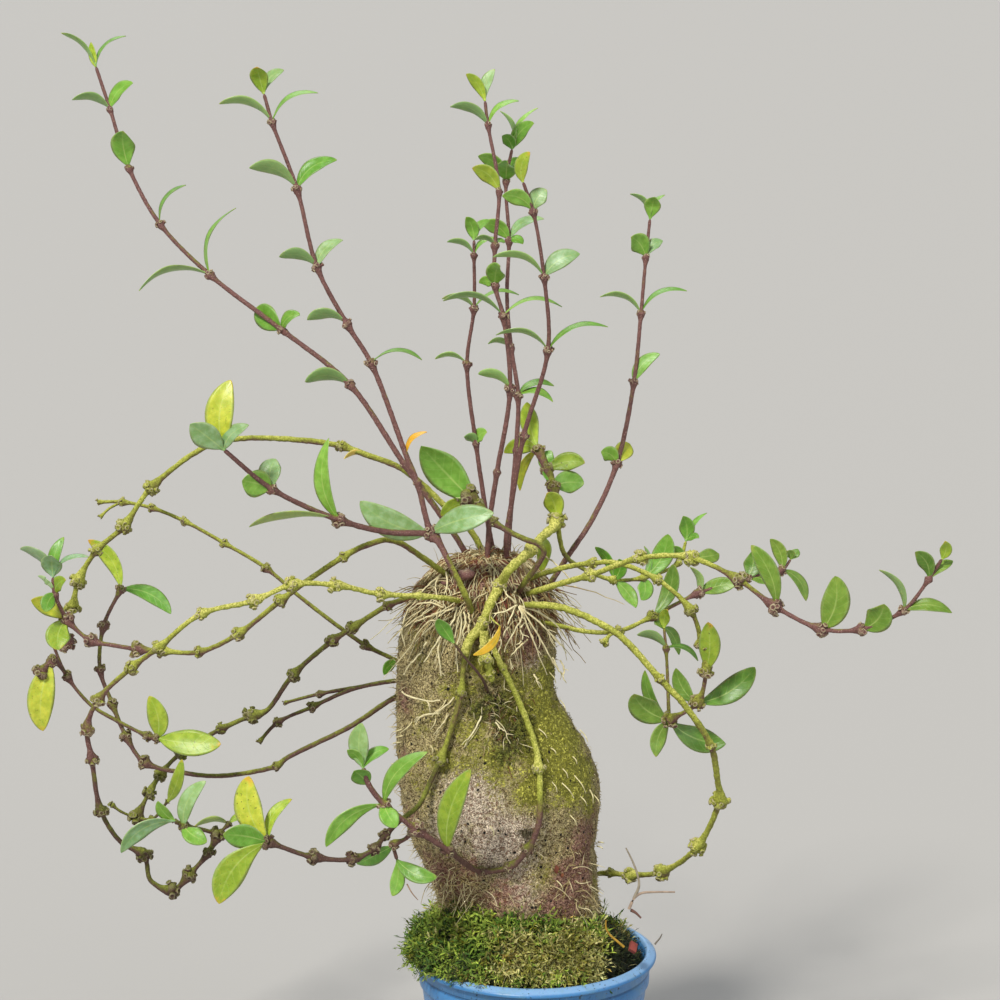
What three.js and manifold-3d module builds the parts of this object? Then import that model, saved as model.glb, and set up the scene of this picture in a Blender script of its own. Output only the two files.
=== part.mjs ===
// An ant plant in a 12 cm nursery pot. A tall swollen base stands in moss and bark, a tuft of roots crowns
// it, and jointed stems with pairs of leaves rise, arch and trail from it.
// Millimetres. The origin is under the middle of the pot, +Z is up, +X is to the right of the front view and
// +Y is away from the viewer.
import * as THREE from "three";
import { mergeVertices } from "three/addons/utils/BufferGeometryUtils.js";
import Module from "manifold-3d";

const wasm = await Module();
wasm.setup();

// Driving dimensions of the pot, the soil and the moss
const POT_HEIGHT = 105;
const RIM_RADIUS = 61;
const RIM_DROP = 5;
const COLLAR_RADIUS = 57.6;
const COLLAR_DROP = 17;
const COLLAR_STEP = 1.4;
const FOOT_RADIUS = 44;
const WALL = 1.8;
const DRAIN_HOLES = 6;
const DRAIN_RADIUS = 4;
const DRAIN_CIRCLE = 30;
const POT_SIDES = 32;
const SOIL_TOP = 96;
const CLEARANCE = 0.3;

// The plant was measured on a front view: a grid whose step is half a millimetre at the pot's rim, seen from
// a little above. A place is its grid column, its grid row, and its depth behind the pot's axis.
const VIEW_STEP = 0.5;
const VIEW_PITCH = THREE.MathUtils.degToRad(12);
const VIEW_DISTANCE = 1600;
const VIEW_CENTRE = [500, 500];
const RIM_IN_VIEW = [534, 948];

const viewUp = new THREE.Vector3(0, Math.sin(VIEW_PITCH), Math.cos(VIEW_PITCH));
const viewAhead = new THREE.Vector3(0, Math.cos(VIEW_PITCH), -Math.sin(VIEW_PITCH));

function onViewPlane(column, row) {
  const rimCentre = new THREE.Vector3(0, 0, POT_HEIGHT);
  rimCentre.x += (column - RIM_IN_VIEW[0]) * VIEW_STEP;
  return rimCentre.addScaledVector(viewUp, (RIM_IN_VIEW[1] - row) * VIEW_STEP);
}

const eye = onViewPlane(...VIEW_CENTRE).addScaledVector(viewAhead, -VIEW_DISTANCE);

function fromView(column, row, depth) {
  const target = onViewPlane(column, row);
  return eye.clone().lerp(target, (depth - eye.y) / (target.y - eye.y));
}

// Solids and geometries

function toSolid(geometry) {
  const bare = geometry.clone();
  bare.deleteAttribute("normal");
  bare.deleteAttribute("uv");
  const merged = mergeVertices(bare, 1e-4);
  const mesh = new wasm.Mesh({
    numProp: 3,
    vertProperties: merged.attributes.position.array,
    triVerts: new Uint32Array(merged.index.array),
  });
  return new wasm.Manifold(mesh);
}

function toGeometry(solid) {
  const mesh = solid.getMesh();
  const geometry = new THREE.BufferGeometry();
  geometry.setAttribute("position", new THREE.BufferAttribute(mesh.vertProperties, 3));
  geometry.setIndex(new THREE.BufferAttribute(mesh.triVerts, 1));
  geometry.computeVertexNormals();
  return geometry;
}

// The largest body of a solid: what a cut leaves loose is dropped.
function largestBody(solid) {
  return solid.decompose().reduce((most, body) => (body.volume() > most.volume() ? body : most));
}

// Closes a row of equal rings of points into one skin. Rings run anticlockwise as seen from the last ring.
function loft(rings) {
  const size = rings[0].length;
  const last = (rings.length - 1) * size;
  const faces = [];
  for (let ring = 0; ring + 1 < rings.length; ring++) {
    for (let side = 0; side < size; side++) {
      const a = ring * size + side;
      const b = ring * size + ((side + 1) % size);
      faces.push(a, b, b + size, a, b + size, a + size);
    }
  }
  for (let side = 1; side + 1 < size; side++) {
    faces.push(0, side + 1, side, last, last + side, last + side + 1);
  }
  const geometry = new THREE.BufferGeometry().setFromPoints(rings.flat());
  return geometry.setIndex(faces);
}

// A ring of points about a place, square to along. reachAt gives its radius at an angle from across.
function ringOfPoints(place, along, across, sides, reachAt) {
  const side = new THREE.Vector3().crossVectors(along, across);
  const points = [];
  for (let step = 0; step < sides; step++) {
    const angle = (step / sides) * Math.PI * 2;
    const point = place.clone().addScaledVector(across, reachAt(angle) * Math.cos(angle));
    points.push(point.addScaledVector(side, reachAt(angle) * Math.sin(angle)));
  }
  return points;
}

// A repeatable series of numbers from 0 to 1.
function seededDraw(seed) {
  let state = seed;
  return () => {
    state = (state * 1664525 + 1013904223) % 4294967296;
    return state / 4294967296;
  };
}

// The swollen base

// Its outline in the front view, from the crown down: row, left column, right column.
const BASE_OUTLINE = [
  [554, 470, 508], [559, 452, 526], [568, 437, 538], [582, 422, 548], [602, 411, 554],
  [626, 404, 557], [652, 400, 555], [680, 398, 552], [702, 398, 556], [722, 398, 568],
  [746, 398, 582], [772, 400, 592], [802, 405, 596], [830, 413, 596], [856, 425, 597],
  [886, 437, 601], [916, 442, 602], [946, 450, 597], [972, 470, 578],
];
const BASE_DEPTH_RATIO = 0.88;
const BASE_SIDES = 22;
const BASE_RINGS = 18;
// Rings crowd towards both ends, where the base rounds in.
const RING_EASE = 0.4;
// Low swellings that run round it: how high, how many to a turn, where they start, how they climb.
const BASE_SWELLINGS = [[0.03, 2, 0.8, 38], [0.022, 3, 2.1, -27], [0.016, 5, 0.4, 16]];

const outlineRows = BASE_OUTLINE.map(([row, left, right]) => {
  const from = fromView(left, row, 0);
  const to = fromView(right, row, 0);
  return [from.z, (from.x + to.x) / 2, (to.x - from.x) / 2];
}).reverse();
const BASE_BOTTOM = outlineRows[0][0];
const BASE_TOP = outlineRows[outlineRows.length - 1][0];
const outlineCurve = new THREE.CubicInterpolant(
  outlineRows.map(([height]) => height),
  outlineRows.flatMap(([, middle, half]) => [middle, half]),
  2,
);

// The point of the base's surface at a height and an angle round it, moved out by grow.
function baseSurface(height, angle, grow = 0) {
  const [middle, half] = outlineCurve.evaluate(height);
  const swelling = BASE_SWELLINGS.reduce(
    (sum, [size, waves, start, climb]) => sum + size * Math.cos(waves * angle + start + height / climb),
    1,
  );
  return new THREE.Vector3(
    middle + (half * swelling + grow) * Math.cos(angle),
    (half * BASE_DEPTH_RATIO * swelling + grow) * Math.sin(angle),
    height,
  );
}

function baseSolid(grow = 0) {
  const rings = [];
  for (let ring = 0; ring <= BASE_RINGS; ring++) {
    const even = ring / BASE_RINGS;
    const eased = 0.5 - 0.5 * Math.cos(Math.PI * even);
    const height = THREE.MathUtils.lerp(BASE_BOTTOM, BASE_TOP, THREE.MathUtils.lerp(even, eased, RING_EASE));
    const points = [];
    for (let side = 0; side < BASE_SIDES; side++) {
      points.push(baseSurface(height, (side / BASE_SIDES) * Math.PI * 2, grow));
    }
    rings.push(points);
  }
  rings[0].forEach((point) => (point.z -= grow));
  rings[BASE_RINGS].forEach((point) => (point.z += grow));
  return toSolid(loft(rings));
}

const NEAREST_DEPTH = -70;
const DEPTH_STEP = 0.25;
const SKIN_SPARE = 1.1;

// The depth at which something of this radius lies on the front of the base, at a place in the view.
function depthOnBase(column, row, radius) {
  for (let depth = NEAREST_DEPTH; depth < 0; depth += DEPTH_STEP) {
    const place = fromView(column, row, depth);
    const surface = baseSurface(
      THREE.MathUtils.clamp(place.z, BASE_BOTTOM, BASE_TOP),
      Math.atan2(place.y / BASE_DEPTH_RATIO, place.x - outlineCurve.evaluate(place.z)[0]),
    );
    if (surface.y - place.y < radius + SKIN_SPARE) return depth;
  }
  throw new Error("no part of the base lies behind that place");
}

// Stems and leaves

// Every stem is a list of shoots, the first from the swollen base and the others from a place on the first.
// A shoot is its radius at the start, its radius at the tip, its joints and its leaves.
// A joint is column, row, depth and the radius of its swelling, or 0 where the shoot only bends. The depth
// "skin" lays it on the front of the swollen base.
// A leaf is its joint, the column and row of its tip, how far the tip lies behind the joint, its width, and
// how far its face is turned from the viewer, in degrees.
const STEMS = {
  "stem_long_left": [
    [1.8, 1.0, [
      [478, 578, 6, 0], [461, 545, 8, 0], [445, 521, 10, 2.4], [404, 464, 14, 2.2], [350, 385, 20, 2.6],
      [282, 330, 28, 2.6], [210, 275, 36, 2.6], [160, 224, 42, 2.5], [129, 168, 48, 2.2],
      [110, 109, 52, 1.9], [96, 67, 56, 0],
    ], [
      [10, 61, 33, -6, 5, 65], [10, 126, 36, 6, 5.5, 65], [9, 72, 100, -4, 7, 60], [9, 133, 83, -4, 7.5, 30],
      [8, 123, 131, -8, 12, 5], [7, 186, 185, 6, 8, 70], [6, 236, 208, 8, 8, 72],
      [6, 139, 291, -8, 8, 75], [5, 256, 308, 10, 12, 20], [5, 300, 315, -6, 8, 45],
      [4, 305, 382, -6, 9, 50],
    ]],
  ],
  "stem_tall_left": [
    [1.8, 1.0, [
      [476, 622, -24, 0], [464, 592, -36, 0], [451, 566, -36, 0], [438, 541, -31, 0],
      [431, 533, -28, 4.2], [417, 482, -24, 2.2], [406, 455, -22, 0], [371, 363, -16, 2.9],
      [347, 324, -14, 2.7], [317, 267, -12, 2.6], [297, 189, -8, 2.6], [272, 122, -4, 2.2],
      [264, 94, -2, 0],
    ], [
      [12, 257, 67, -6, 8.5, 15], [12, 284, 70, 6, 6.5, 35], [11, 219, 104, 0, 6.5, 60],
      [11, 318, 93, 0, 6.5, 65], [10, 249, 168, -6, 8.5, 45], [10, 337, 160, 4, 8.5, 35],
      [9, 279, 257, -4, 7, 45], [9, 343, 240, 4, 7, 35],
      [8, 307, 320, 0, 8, 55], [7, 422, 360, 0, 8, 75], 
    ]],
    [1.8, 1.2, [
      [431, 533, -28, 0], [388, 532, -36, 0], [339, 520, -46, 3.4], [272, 489, -56, 2.8],
      [224, 450, -64, 0],
    ], [
      [0, 360, 501, -12, 13.5, 10], [0, 494, 513, -14, 12.5, 15], [2, 329, 438, 0, 8, 25],
      [2, 249, 527, -2, 8, 65], [3, 242, 481, -8, 13, 10], [3, 276, 459, 8, 11, 20],
      [4, 231, 380, 6, 13, 10], [4, 190, 424, -8, 12, 15], [4, 249, 425, -4, 7, 30],
      [4, 212, 428, 8, 6, 30],
    ]],
  ],
  "stem_old_spike": [
    [1.9, 1.6, [
      [514, 600, -16, 0], [525, 582, -31, 0], [538, 564, -36, 0], [544, 551, -37, 0], [538, 544, -37, 0],
      [527, 540, -35, 0], [508, 531, -30, 0], [494, 522, -26, 2.6], [478, 506, -22, 3.4],
      [469, 498, -20, 4.6],
    ], [
      [8, 421, 446, -6, 17, 10], [8, 441, 516, 6, 8, 30],
    ]],
  ],
  "stem_centre_left": [
    [1.5, 0.9, [
      [499, 580, 10, 0], [488, 524, 8, 0], [476, 444, 6, 1.9], [467, 364, 4, 2.3], [474, 308, 2, 2.2],
      [474, 255, 0, 1.9], [474, 240, 0, 0],
    ], [
      [5, 447, 242, 0, 5, 60], [6, 466, 217, -4, 6, 15], [6, 490, 220, 4, 5, 40],
      [4, 442, 299, -2, 5, 62], [4, 519, 295, 6, 5.5, 70], [3, 435, 359, 0, 5, 65],
      [2, 464, 437, -3, 6, 40], [2, 487, 432, -3, 7, 35],
    ]],
  ],
  "stem_centre_tall": [
    [1.6, 0.9, [
      [487, 582, -6, 0], [489, 527, -8, 0], [497, 472, -10, 2.0], [510, 389, -14, 2.8],
      [503, 316, -14, 2.6], [495, 285, -12, 2.3], [495, 245, -8, 2.2], [499, 191, -4, 2.0],
      [488, 125, 2, 1.9], [485, 101, 4, 0],
    ], [
      [9, 466, 74, -4, 5, 15], [9, 495, 69, 4, 5.5, 20], [8, 450, 107, -2, 6, 50], [8, 519, 101, 2, 5, 55],
      [7, 472, 168, -4, 8, 25], [5, 500, 266, -14, 9, 0], 
      [4, 443, 301, -2, 6, 65], [4, 562, 307, 2, 6, 68], [3, 478, 374, -2, 6.5, 50],
    ]],
  ],
  "stem_centre_back": [
    [1.6, 0.9, [
      [507, 580, 14, 0], [510, 520, 14, 0], [516, 450, 16, 1.8], [518, 395, 17, 2.5],
      [511, 347, 18, 2.0], [507, 297, 19, 0], [509, 240, 20, 2.2], [506, 181, 21, 2.0],
      [512, 149, 21, 0],
    ], [
      [3, 554, 386, 4, 6.5, 60], [3, 553, 402, -6, 6, 55], [4, 488, 344, 2, 5, 60],
      [6, 482, 224, -4, 8, 30], [6, 544, 219, 2, 6.5, 45], [6, 523, 244, -4, 5, 30],
      [7, 478, 156, -6, 7, 25], [7, 508, 163, -14, 10, 0],
      [7, 524, 160, 8, 8, 30], [8, 534, 123, -6, 7, 15], [8, 502, 136, -4, 6, 25], 
    ]],
  ],
  "stem_centre_right": [
    [1.6, 0.9, [
      [511, 582, -4, 0], [506, 545, -6, 0], [512, 500, -8, 0], [524, 435, -12, 2.6],
      [548, 350, -18, 2.6], [544, 277, -22, 2.5], [533, 211, -24, 2.2], [523, 182, -26, 0],
    ], [
      [7, 530, 152, -4, 6.5, 20], [6, 502, 196, -6, 8, 25], [6, 547, 190, 2, 8.5, 15],
      [5, 493, 257, -4, 6, 62], [5, 580, 254, 2, 9, 20], [4, 496, 335, -2, 6, 68],
      [4, 608, 327, 2, 6, 65],
    ]],
  ],
  "stem_right_tall": [
    [1.7, 0.9, [
      [546, 590, 8, 0], [566, 559, 10, 0], [593, 518, 14, 0], [617, 463, 20, 2.6], [634, 382, 26, 2.4],
      [641, 313, 30, 2.3], [646, 257, 34, 2.1], [650, 219, 36, 0],
    ], [
      [3, 601, 452, -4, 8, 20], [3, 630, 444, 8, 9, 5], [4, 660, 354, 2, 6.5, 20],
      [5, 600, 297, -2, 5.5, 65], [5, 687, 291, 2, 5.5, 65], [6, 631, 237, -6, 10, 5],
      [6, 663, 241, 4, 6.5, 30], [7, 655, 197, -6, 8, 5],
    ]],
  ],
  "stem_right_reach": [
    [2.1, 1.1, [
      [522, 597, -14, 0], [536, 591, -30, 0], [566, 582, -42, 0], [591, 575, -50, 3.4],
      [641, 558, -62, 3.6], [692, 558, -72, 3.8], [739, 580, -78, 4.0], [776, 607, -84, 4.0],
      [822, 629, -88, 3.6], [862, 629, -90, 3.0], [904, 610, -92, 2.6], [929, 579, -92, 1.9],
      [942, 559, -92, 0],
    ], [
      [5, 719, 554, 6, 7, 20], [7, 751, 545, -2, 8.5, 15], [8, 835, 576, -4, 12.5, 5],
      [9, 884, 604, -8, 12, 10], [10, 952, 613, -2, 6.5, 35], [11, 915, 552, -4, 7, 20],
      [11, 953, 561, 4, 5, 35], [12, 945, 541, -4, 5, 10],
    ]],
  ],
  "stem_right_arch": [
    [1.9, 1.3, [
      [522, 584, -6, 0], [534, 577, -18, 0], [566, 567, -24, 0], [593, 563, -28, 2.6],
      [617, 563, -32, 0], [658, 580, -36, 2.6], [691, 611, -38, 3.6], [702, 645, -38, 3.2],
      [706, 671, -36, 3.8], [697, 703, -32, 3.8], [669, 720, -26, 4.0],
    ], [
      [8, 708, 622, -8, 10, 10], [9, 755, 667, 4, 11.5, 15], [9, 676, 668, 6, 7.5, 15],
      [10, 634, 694, -6, 13, 15], [10, 726, 744, 2, 12, 15], [10, 656, 757, -4, 8, 20],
      [10, 645, 670, 10, 5.5, 20],
    ]],
    [1.4, 0.9, [
      [669, 720, -26, 0], [668, 690, -20, 0], [666, 648, -16, 1.9], [664, 628, -14, 0],
    ], [
      [2, 637, 635, -2, 5.5, 40], [2, 698, 661, 2, 5, 60], [3, 668, 610, -4, 5.5, 20],
      [3, 679, 655, 6, 6, 35],
    ]],
  ],
  "stem_right_loop": [
    [2.2, 1.7, [
      [519, 606, -20, 0], [534, 605, -34, 0], [559, 607, -42, 0], [591, 619, -48, 0], [620, 636, -52, 0],
      [660, 679, -54, 2.6], [686, 707, -53, 0], [711, 746, -48, 2.6], [717, 777, -42, 0],
      [719, 801, -36, 4.4], [697, 847, -24, 4.4], [661, 872, -8, 4.2], [630, 875, 2, 3.8],
      [609, 873, 8, 2.6],
    ], []],
  ],
  "stem_right_back": [
    [1.8, 0.9, [
      [530, 619, -14, 0], [559, 626, -24, 0], [591, 632, -24, 0], [619, 631, -20, 2.6],
      [653, 616, -10, 3.0], [699, 593, 0, 3.2], [747, 578, 8, 2.6], [782, 570, 12, 2.6],
      [791, 559, 14, 0],
    ], [
      [4, 673, 564, 4, 8, 15], [4, 663, 629, -2, 6.5, 25], [5, 690, 567, 4, 5, 50],
      [5, 737, 584, 2, 8, 15], [6, 752, 551, 4, 9, 10], [6, 770, 585, -2, 6, 35],
      [7, 770, 539, 2, 6.5, 15], [7, 806, 601, 2, 6, 30], [8, 787, 551, -3, 4.5, 15],
      [8, 798, 549, 3, 4.5, 20],
    ]],
  ],
  "stem_front_thick": [
    [2.7, 2.0, [
      [458, 660, -22, 0], [466, 647, "skin", 0], [476, 632, "skin", 0], [486, 615, "skin", 3.3],
      [500, 586, "skin", 3.6], [510, 570, -37, 0], [532, 550, -25, 3.6], [541, 538, -14, 0],
      [557, 521, -2, 4.6], [553, 487, 14, 3.4], [547, 470, 20, 3.4], [538, 449, 24, 3.2],
    ], [
      [11, 527, 402, 6, 9, 10], [11, 504, 453, 8, 8, 15], [10, 585, 463, -4, 9, 10],
      [10, 552, 451, 6, 8, 20], [9, 584, 484, 4, 11, 10], [8, 550, 494, -8, 10, 10],
      [7, 541, 573, 14, 7, 15],
    ]],
    [1.5, 0.9, [
      [557, 521, -2, 0], [563, 551, 0, 0], [580, 567, 14, 0], [614, 580, 22, 2.3], [643, 578, 26, 2.2],
      [660, 573, 28, 0], [679, 562, 30, 2.2], [686, 541, 32, 0],
    ], [
      [3, 595, 547, 2, 5, 30], [3, 619, 559, -4, 7, 15], [3, 636, 608, -6, 7, 15],
      [4, 641, 600, -6, 8, 15], [4, 668, 534, 4, 10.5, 10], [6, 674, 546, -4, 5, 30],
      [7, 683, 516, -2, 7.5, 5], [7, 699, 538, -4, 4.5, 40],
    ]],
  ],
  "stem_front_left": [
    [1.9, 1.5, [
      [463, 678, -24, 0], [462, 700, "skin", 0], [446, 750, "skin", 0], [440, 766, "skin", 3.4],
      [428, 787, "skin", 0], [419, 805, -34, 0], [401, 820, -41, 0], [385, 835, -48, 2.8],
      [374, 849, -54, 3.2], [352, 859, -57, 3.4], [313, 857, -59, 3.8], [268, 842, -60, 3.4],
    ], [
      [11, 249, 776, 4, 13, 10], [11, 223, 835, -6, 12, 15], [11, 219, 904, -6, 14, 10],
      [11, 292, 799, 8, 6, 35],
    ]],
  ],
  "stem_front_curl": [
    [1.8, 1.4, [
      [487, 640, -24, 0], [494, 648, "skin", 3.4], [503, 665, "skin", 0], [515, 691, "skin", 0],
      [536, 747, "skin", 0], [539, 765, "skin", 3.4], [540, 796, "skin", 0], [538, 826, "skin", 0],
      [524, 851, "skin", 2.8], [509, 866, "skin", 3.0], [484, 871, "skin", 0], [450, 848, -48, 3.2],
      [414, 829, -54, 3.8], [384, 804, -60, 3.2], [369, 785, -63, 0], [363, 768, -65, 0],
    ], [
      [15, 362, 723, -2, 9.5, 10], [15, 347, 750, -4, 6, 35], [15, 389, 749, 2, 6, 35],
      [14, 354, 771, -8, 9, 15], [13, 428, 752, -6, 8, 25], [13, 326, 847, -6, 9, 30],
      [13, 397, 827, -8, 9, 20], [11, 471, 769, -8, 11, 10],
    ]],
    [1.3, 1.0, [
      [414, 829, -54, 0], [405, 839, -52, 0], [394, 845, -50, 2.6], [397, 860, -49, 0],
    ], [
      [2, 357, 864, 14, 9, 25], [3, 437, 877, -8, 8, 20], [3, 392, 896, -4, 7, 15],
    ]],
  ],
  "stem_front_twig": [
    [1.2, 0.9, [
      [488, 692, -28, 0], [481, 677, -41, 0], [463, 655, -46, 0], [454, 643, -46, 0],
    ], [
      [3, 438, 619, -4, 7, 20],
    ]],
  ],
  "stem_left_arch": [
    [2.2, 1.6, [
      [489, 566, 14, 0], [471, 531, 20, 0], [445, 506, 24, 0], [404, 470, 28, 0], [367, 455, 30, 0],
      [341, 446, 31, 3.0], [287, 439, 31, 0], [237, 439, 30, 0], [207, 446, 28, 0], [151, 488, 23, 4.0],
      [123, 527, 19, 4.2], [96, 551, 16, 3.2], [78, 582, 15, 4.2], [73, 608, 15, 3.8],
    ], []],
  ],
  "stem_left_thin": [
    [1.6, 1.2, [
      [414, 668, 4, 0], [398, 661, 6, 0], [365, 645, 10, 2.8], [342, 629, 13, 0], [299, 596, 18, 0],
      [266, 568, 22, 2.6], [224, 543, 28, 2.4], [184, 521, 32, 2.4], [152, 508, 35, 2.4],
      [122, 502, 37, 2.4], [98, 502, 38, 1.8],
    ], []],
    [1.0, 0.9, [
      [122, 502, 37, 0], [110, 508, 36, 0], [100, 517, 35, 1.4],
    ], []],
  ],
  "stem_left_low": [
    [1.9, 1.5, [
      [466, 603, -22, 0], [442, 599, -36, 0], [423, 594, -40, 0], [380, 594, -44, 3.4],
      [335, 585, -48, 3.6], [291, 585, -51, 3.8], [253, 601, -52, 3.8], [201, 614, -52, 3.0],
      [158, 648, -50, 3.4], [131, 668, -48, 3.4], [98, 700, -45, 3.4], [87, 729, -42, 3.6],
      [92, 760, -40, 3.2], [101, 811, -36, 3.4], [122, 843, -32, 0], [144, 855, -30, 4.0],
      [151, 881, -30, 0], [173, 890, -30, 4.2], [190, 874, -30, 4.0], [209, 852, -30, 3.2],
      [218, 834, -30, 4.0],
    ], []],
    [1.5, 1.1, [
      [218, 834, -30, 0], [200, 829, -33, 0], [184, 826, -35, 2.8], [175, 821, -36, 1.6],
    ], [
      [2, 206, 781, -4, 8, 20], [3, 158, 801, -4, 6, 20], [3, 121, 853, -6, 9, 35],
      [2, 207, 842, -8, 9, 30],
    ]],
    [1.2, 0.9, [
      [218, 834, -30, 0], [229, 824, -28, 1.8],
    ], []],
  ],
  "stem_left_mid": [
    [2.0, 1.3, [
      [456, 584, -6, 0], [440, 570, -14, 0], [419, 555, -18, 0], [400, 543, -20, 0], [386, 540, -22, 0],
      [362, 547, -24, 0], [343, 557, -25, 2.6], [307, 581, -26, 0], [280, 601, -25, 3.2],
      [238, 634, -20, 3.6], [199, 652, -14, 2.8], [163, 651, -8, 3.2], [137, 649, -4, 4.0],
      [112, 645, -2, 0], [90, 640, 0, 3.6], [67, 619, 2, 3.4], [55, 594, 0, 2.0], [53, 577, -1, 0],
    ], [
      [17, 20, 549, 4, 8, 50], [17, 64, 537, 4, 6, 15], [17, 52, 556, -10, 10, 0], 
      [16, 66, 580, -6, 7, 20], [15, 31, 600, -4, 9, 10], [15, 59, 650, -10, 12, 10],
      [16, 46, 612, -8, 7, 15],
    ]],
  ],
  "stem_left_inner": [
    [2.0, 1.5, [
      [426, 603, -6, 0], [408, 599, -8, 0], [387, 606, -8, 2.6], [352, 628, -7, 3.4],
      [332, 641, -5, 3.2], [293, 675, -1, 3.6], [266, 711, 3, 0], [251, 716, 4, 4.4], [221, 729, 6, 2.8],
      [181, 753, 10, 3.4], [160, 775, 14, 3.6], [149, 793, 12, 3.4], [136, 818, 10, 4.4],
    ], []],
    [1.2, 1.0, [
      [136, 818, 10, 0], [152, 819, 4, 2.0], [168, 801, -6, 1.4],
    ], [
      [2, 182, 759, -4, 6, 10],
    ]],
    [1.0, 0.9, [
      [136, 818, 10, 0], [120, 811, 8, 0], [111, 804, 8, 1.8],
    ], []],
  ],
  "stem_left_pair": [
    [1.9, 1.3, [
      [413, 680, 8, 0], [394, 681, 10, 0], [353, 689, 12, 0], [312, 707, 12, 2.8], [277, 723, 11, 2.6],
      [259, 742, 10, 1.8],
    ], []],
    [1.6, 1.2, [
      [370, 685, 11, 0], [319, 694, 16, 2.2], [284, 703, 18, 1.4],
    ], []],
  ],
  "stem_left_under": [
    [2.0, 1.4, [
      [414, 690, 18, 0], [394, 698, 18, 0], [351, 726, 15, 0], [287, 758, 10, 0], [276, 766, 9, 2.6],
      [240, 774, 7, 0], [213, 776, 5, 0], [185, 773, 3, 0], [144, 762, 4, 3.4], [126, 736, 8, 3.2],
      [112, 703, 12, 3.0], [100, 669, 16, 2.8], [104, 625, 24, 3.0], [121, 589, 32, 2.8],
    ], [
      [13, 88, 540, 6, 8, 15], [13, 171, 614, -4, 8, 20],
    ]],
    [1.5, 1.1, [
      [119, 722, 9, 0], [91, 705, 12, 0], [67, 676, 14, 2.8], [50, 637, 14, 0],
    ], []],
    [1.1, 1.0, [
      [67, 676, 14, 0], [52, 667, 8, 2.6],
    ], [
      [1, 43, 731, -4, 13, 5],
    ]],
    [1.5, 1.2, [
      [119, 722, 9, 0], [148, 736, 2, 2.8], [157, 738, 0, 2.6],
    ], [
      [2, 149, 696, -4, 10, 10], [2, 221, 744, -8, 13, 15],
    ]],
  ],
};

const STEM_SIDES = 5;
const THICK_STEM_SIDES = 6;
const THICK_FROM = 3;
// A swelling takes this share of the stretch on each side of its joint, up to this length.
const FLARE_SHARE = 0.3;
const FLARE_LENGTH = 4.5;
// A slight swelling has no ring beyond it, and a knob has one on each side.
const SLIGHT_BELOW = 2.4;
const KNOB_FROM = 3.6;
// The two buds of a joint stand out by this share, a quarter turn on at each next joint.
const BUD_SHARE = 0.2;
// A leaf's rib stands this high, and less at the tip, where it goes with the half width.
const LEAF_RIB = 1.2;
const LEAF_TIP_RIB = 1.6;
const LEAF_TIP_HALF = 0.35;
// Leaves up to a length, and the half width along them, as shares of the length and of half the widest part.
const LEAF_SHAPES = [
  [18, [[0, 0.2], [0.55, 1], [1, 0.1]]],
  [34, [[0, 0.16], [0.42, 0.95], [0.8, 0.72], [1, 0.08]]],
  [Infinity, [[0, 0.14], [0.3, 0.74], [0.62, 1], [0.88, 0.56], [1, 0.06]]],
];
// How far a leaf arches away from its chord, as a share of its length, and how much more when seen edge on
const LEAF_ARCH = 0.12;
const LEAF_ARCH_TURNED = 0.1;

// The stems fan out in depth as they leave the crown: by this share more for each step of the view.
const CROWN_IN_VIEW = [500, 600];
const DEPTH_FAN = 0.0011;

function jointPlaces(joints, radius) {
  return joints.map(([column, row, depth]) => {
    if (depth === "skin") return fromView(column, row, depthOnBase(column, row, radius));
    const away = Math.hypot(column - CROWN_IN_VIEW[0], row - CROWN_IN_VIEW[1]);
    return fromView(column, row, depth * (1 + DEPTH_FAN * away));
  });
}

// Where a shoot's rings lie along its curve, and how wide each is.
function shootStations([startRadius, tipRadius, joints], places, curve) {
  const spans = joints.length - 1;
  const stations = [];
  joints.forEach(([, , , swelling], index) => {
    const at = index / spans;
    const radius = THREE.MathUtils.lerp(startRadius, tipRadius, at);
    if (!swelling) {
      stations.push({ at, radius, bud: 0 });
      return;
    }
    const gap = (from, to) => places[from].distanceTo(places[to]);
    const flare = (from, to) => Math.min(FLARE_SHARE, FLARE_LENGTH / gap(from, to)) / spans;
    if (index > 0 && swelling >= KNOB_FROM) {
      stations.push({ at: at - flare(index - 1, index), radius, bud: 0 });
    }
    stations.push({ at, radius: swelling, bud: index % 2 ? BUD_SHARE : -BUD_SHARE });
    if (index < spans && swelling >= SLIGHT_BELOW) {
      stations.push({ at: at + flare(index, index + 1), radius, bud: 0 });
    }
  });
  return stations.map((station) => ({
    ...station,
    place: curve.getPoint(station.at),
    along: curve.getTangent(station.at),
  }));
}

// The tube of a shoot. grow widens it all over and lengthens its buried end, to cut the hole it stands in.
function shootTube(shoot, grow = 0) {
  const [startRadius, , joints] = shoot;
  const places = jointPlaces(joints, startRadius);
  const curve = new THREE.CatmullRomCurve3(places, false, "centripetal");
  const sides = startRadius >= THICK_FROM ? THICK_STEM_SIDES : STEM_SIDES;
  const stations = shootStations(shoot, places, curve);
  stations[0].place.addScaledVector(stations[0].along, -grow);
  let across = new THREE.Vector3(1, 0, 0);
  const rings = stations.map(({ radius, bud, place, along }) => {
    across = across.clone().addScaledVector(along, -across.dot(along)).normalize();
    const reachAt = (angle) => radius * (1 + bud * Math.cos(2 * angle)) + grow;
    return ringOfPoints(place, along, across, sides, reachAt);
  });
  return toSolid(loft(rings));
}

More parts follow.
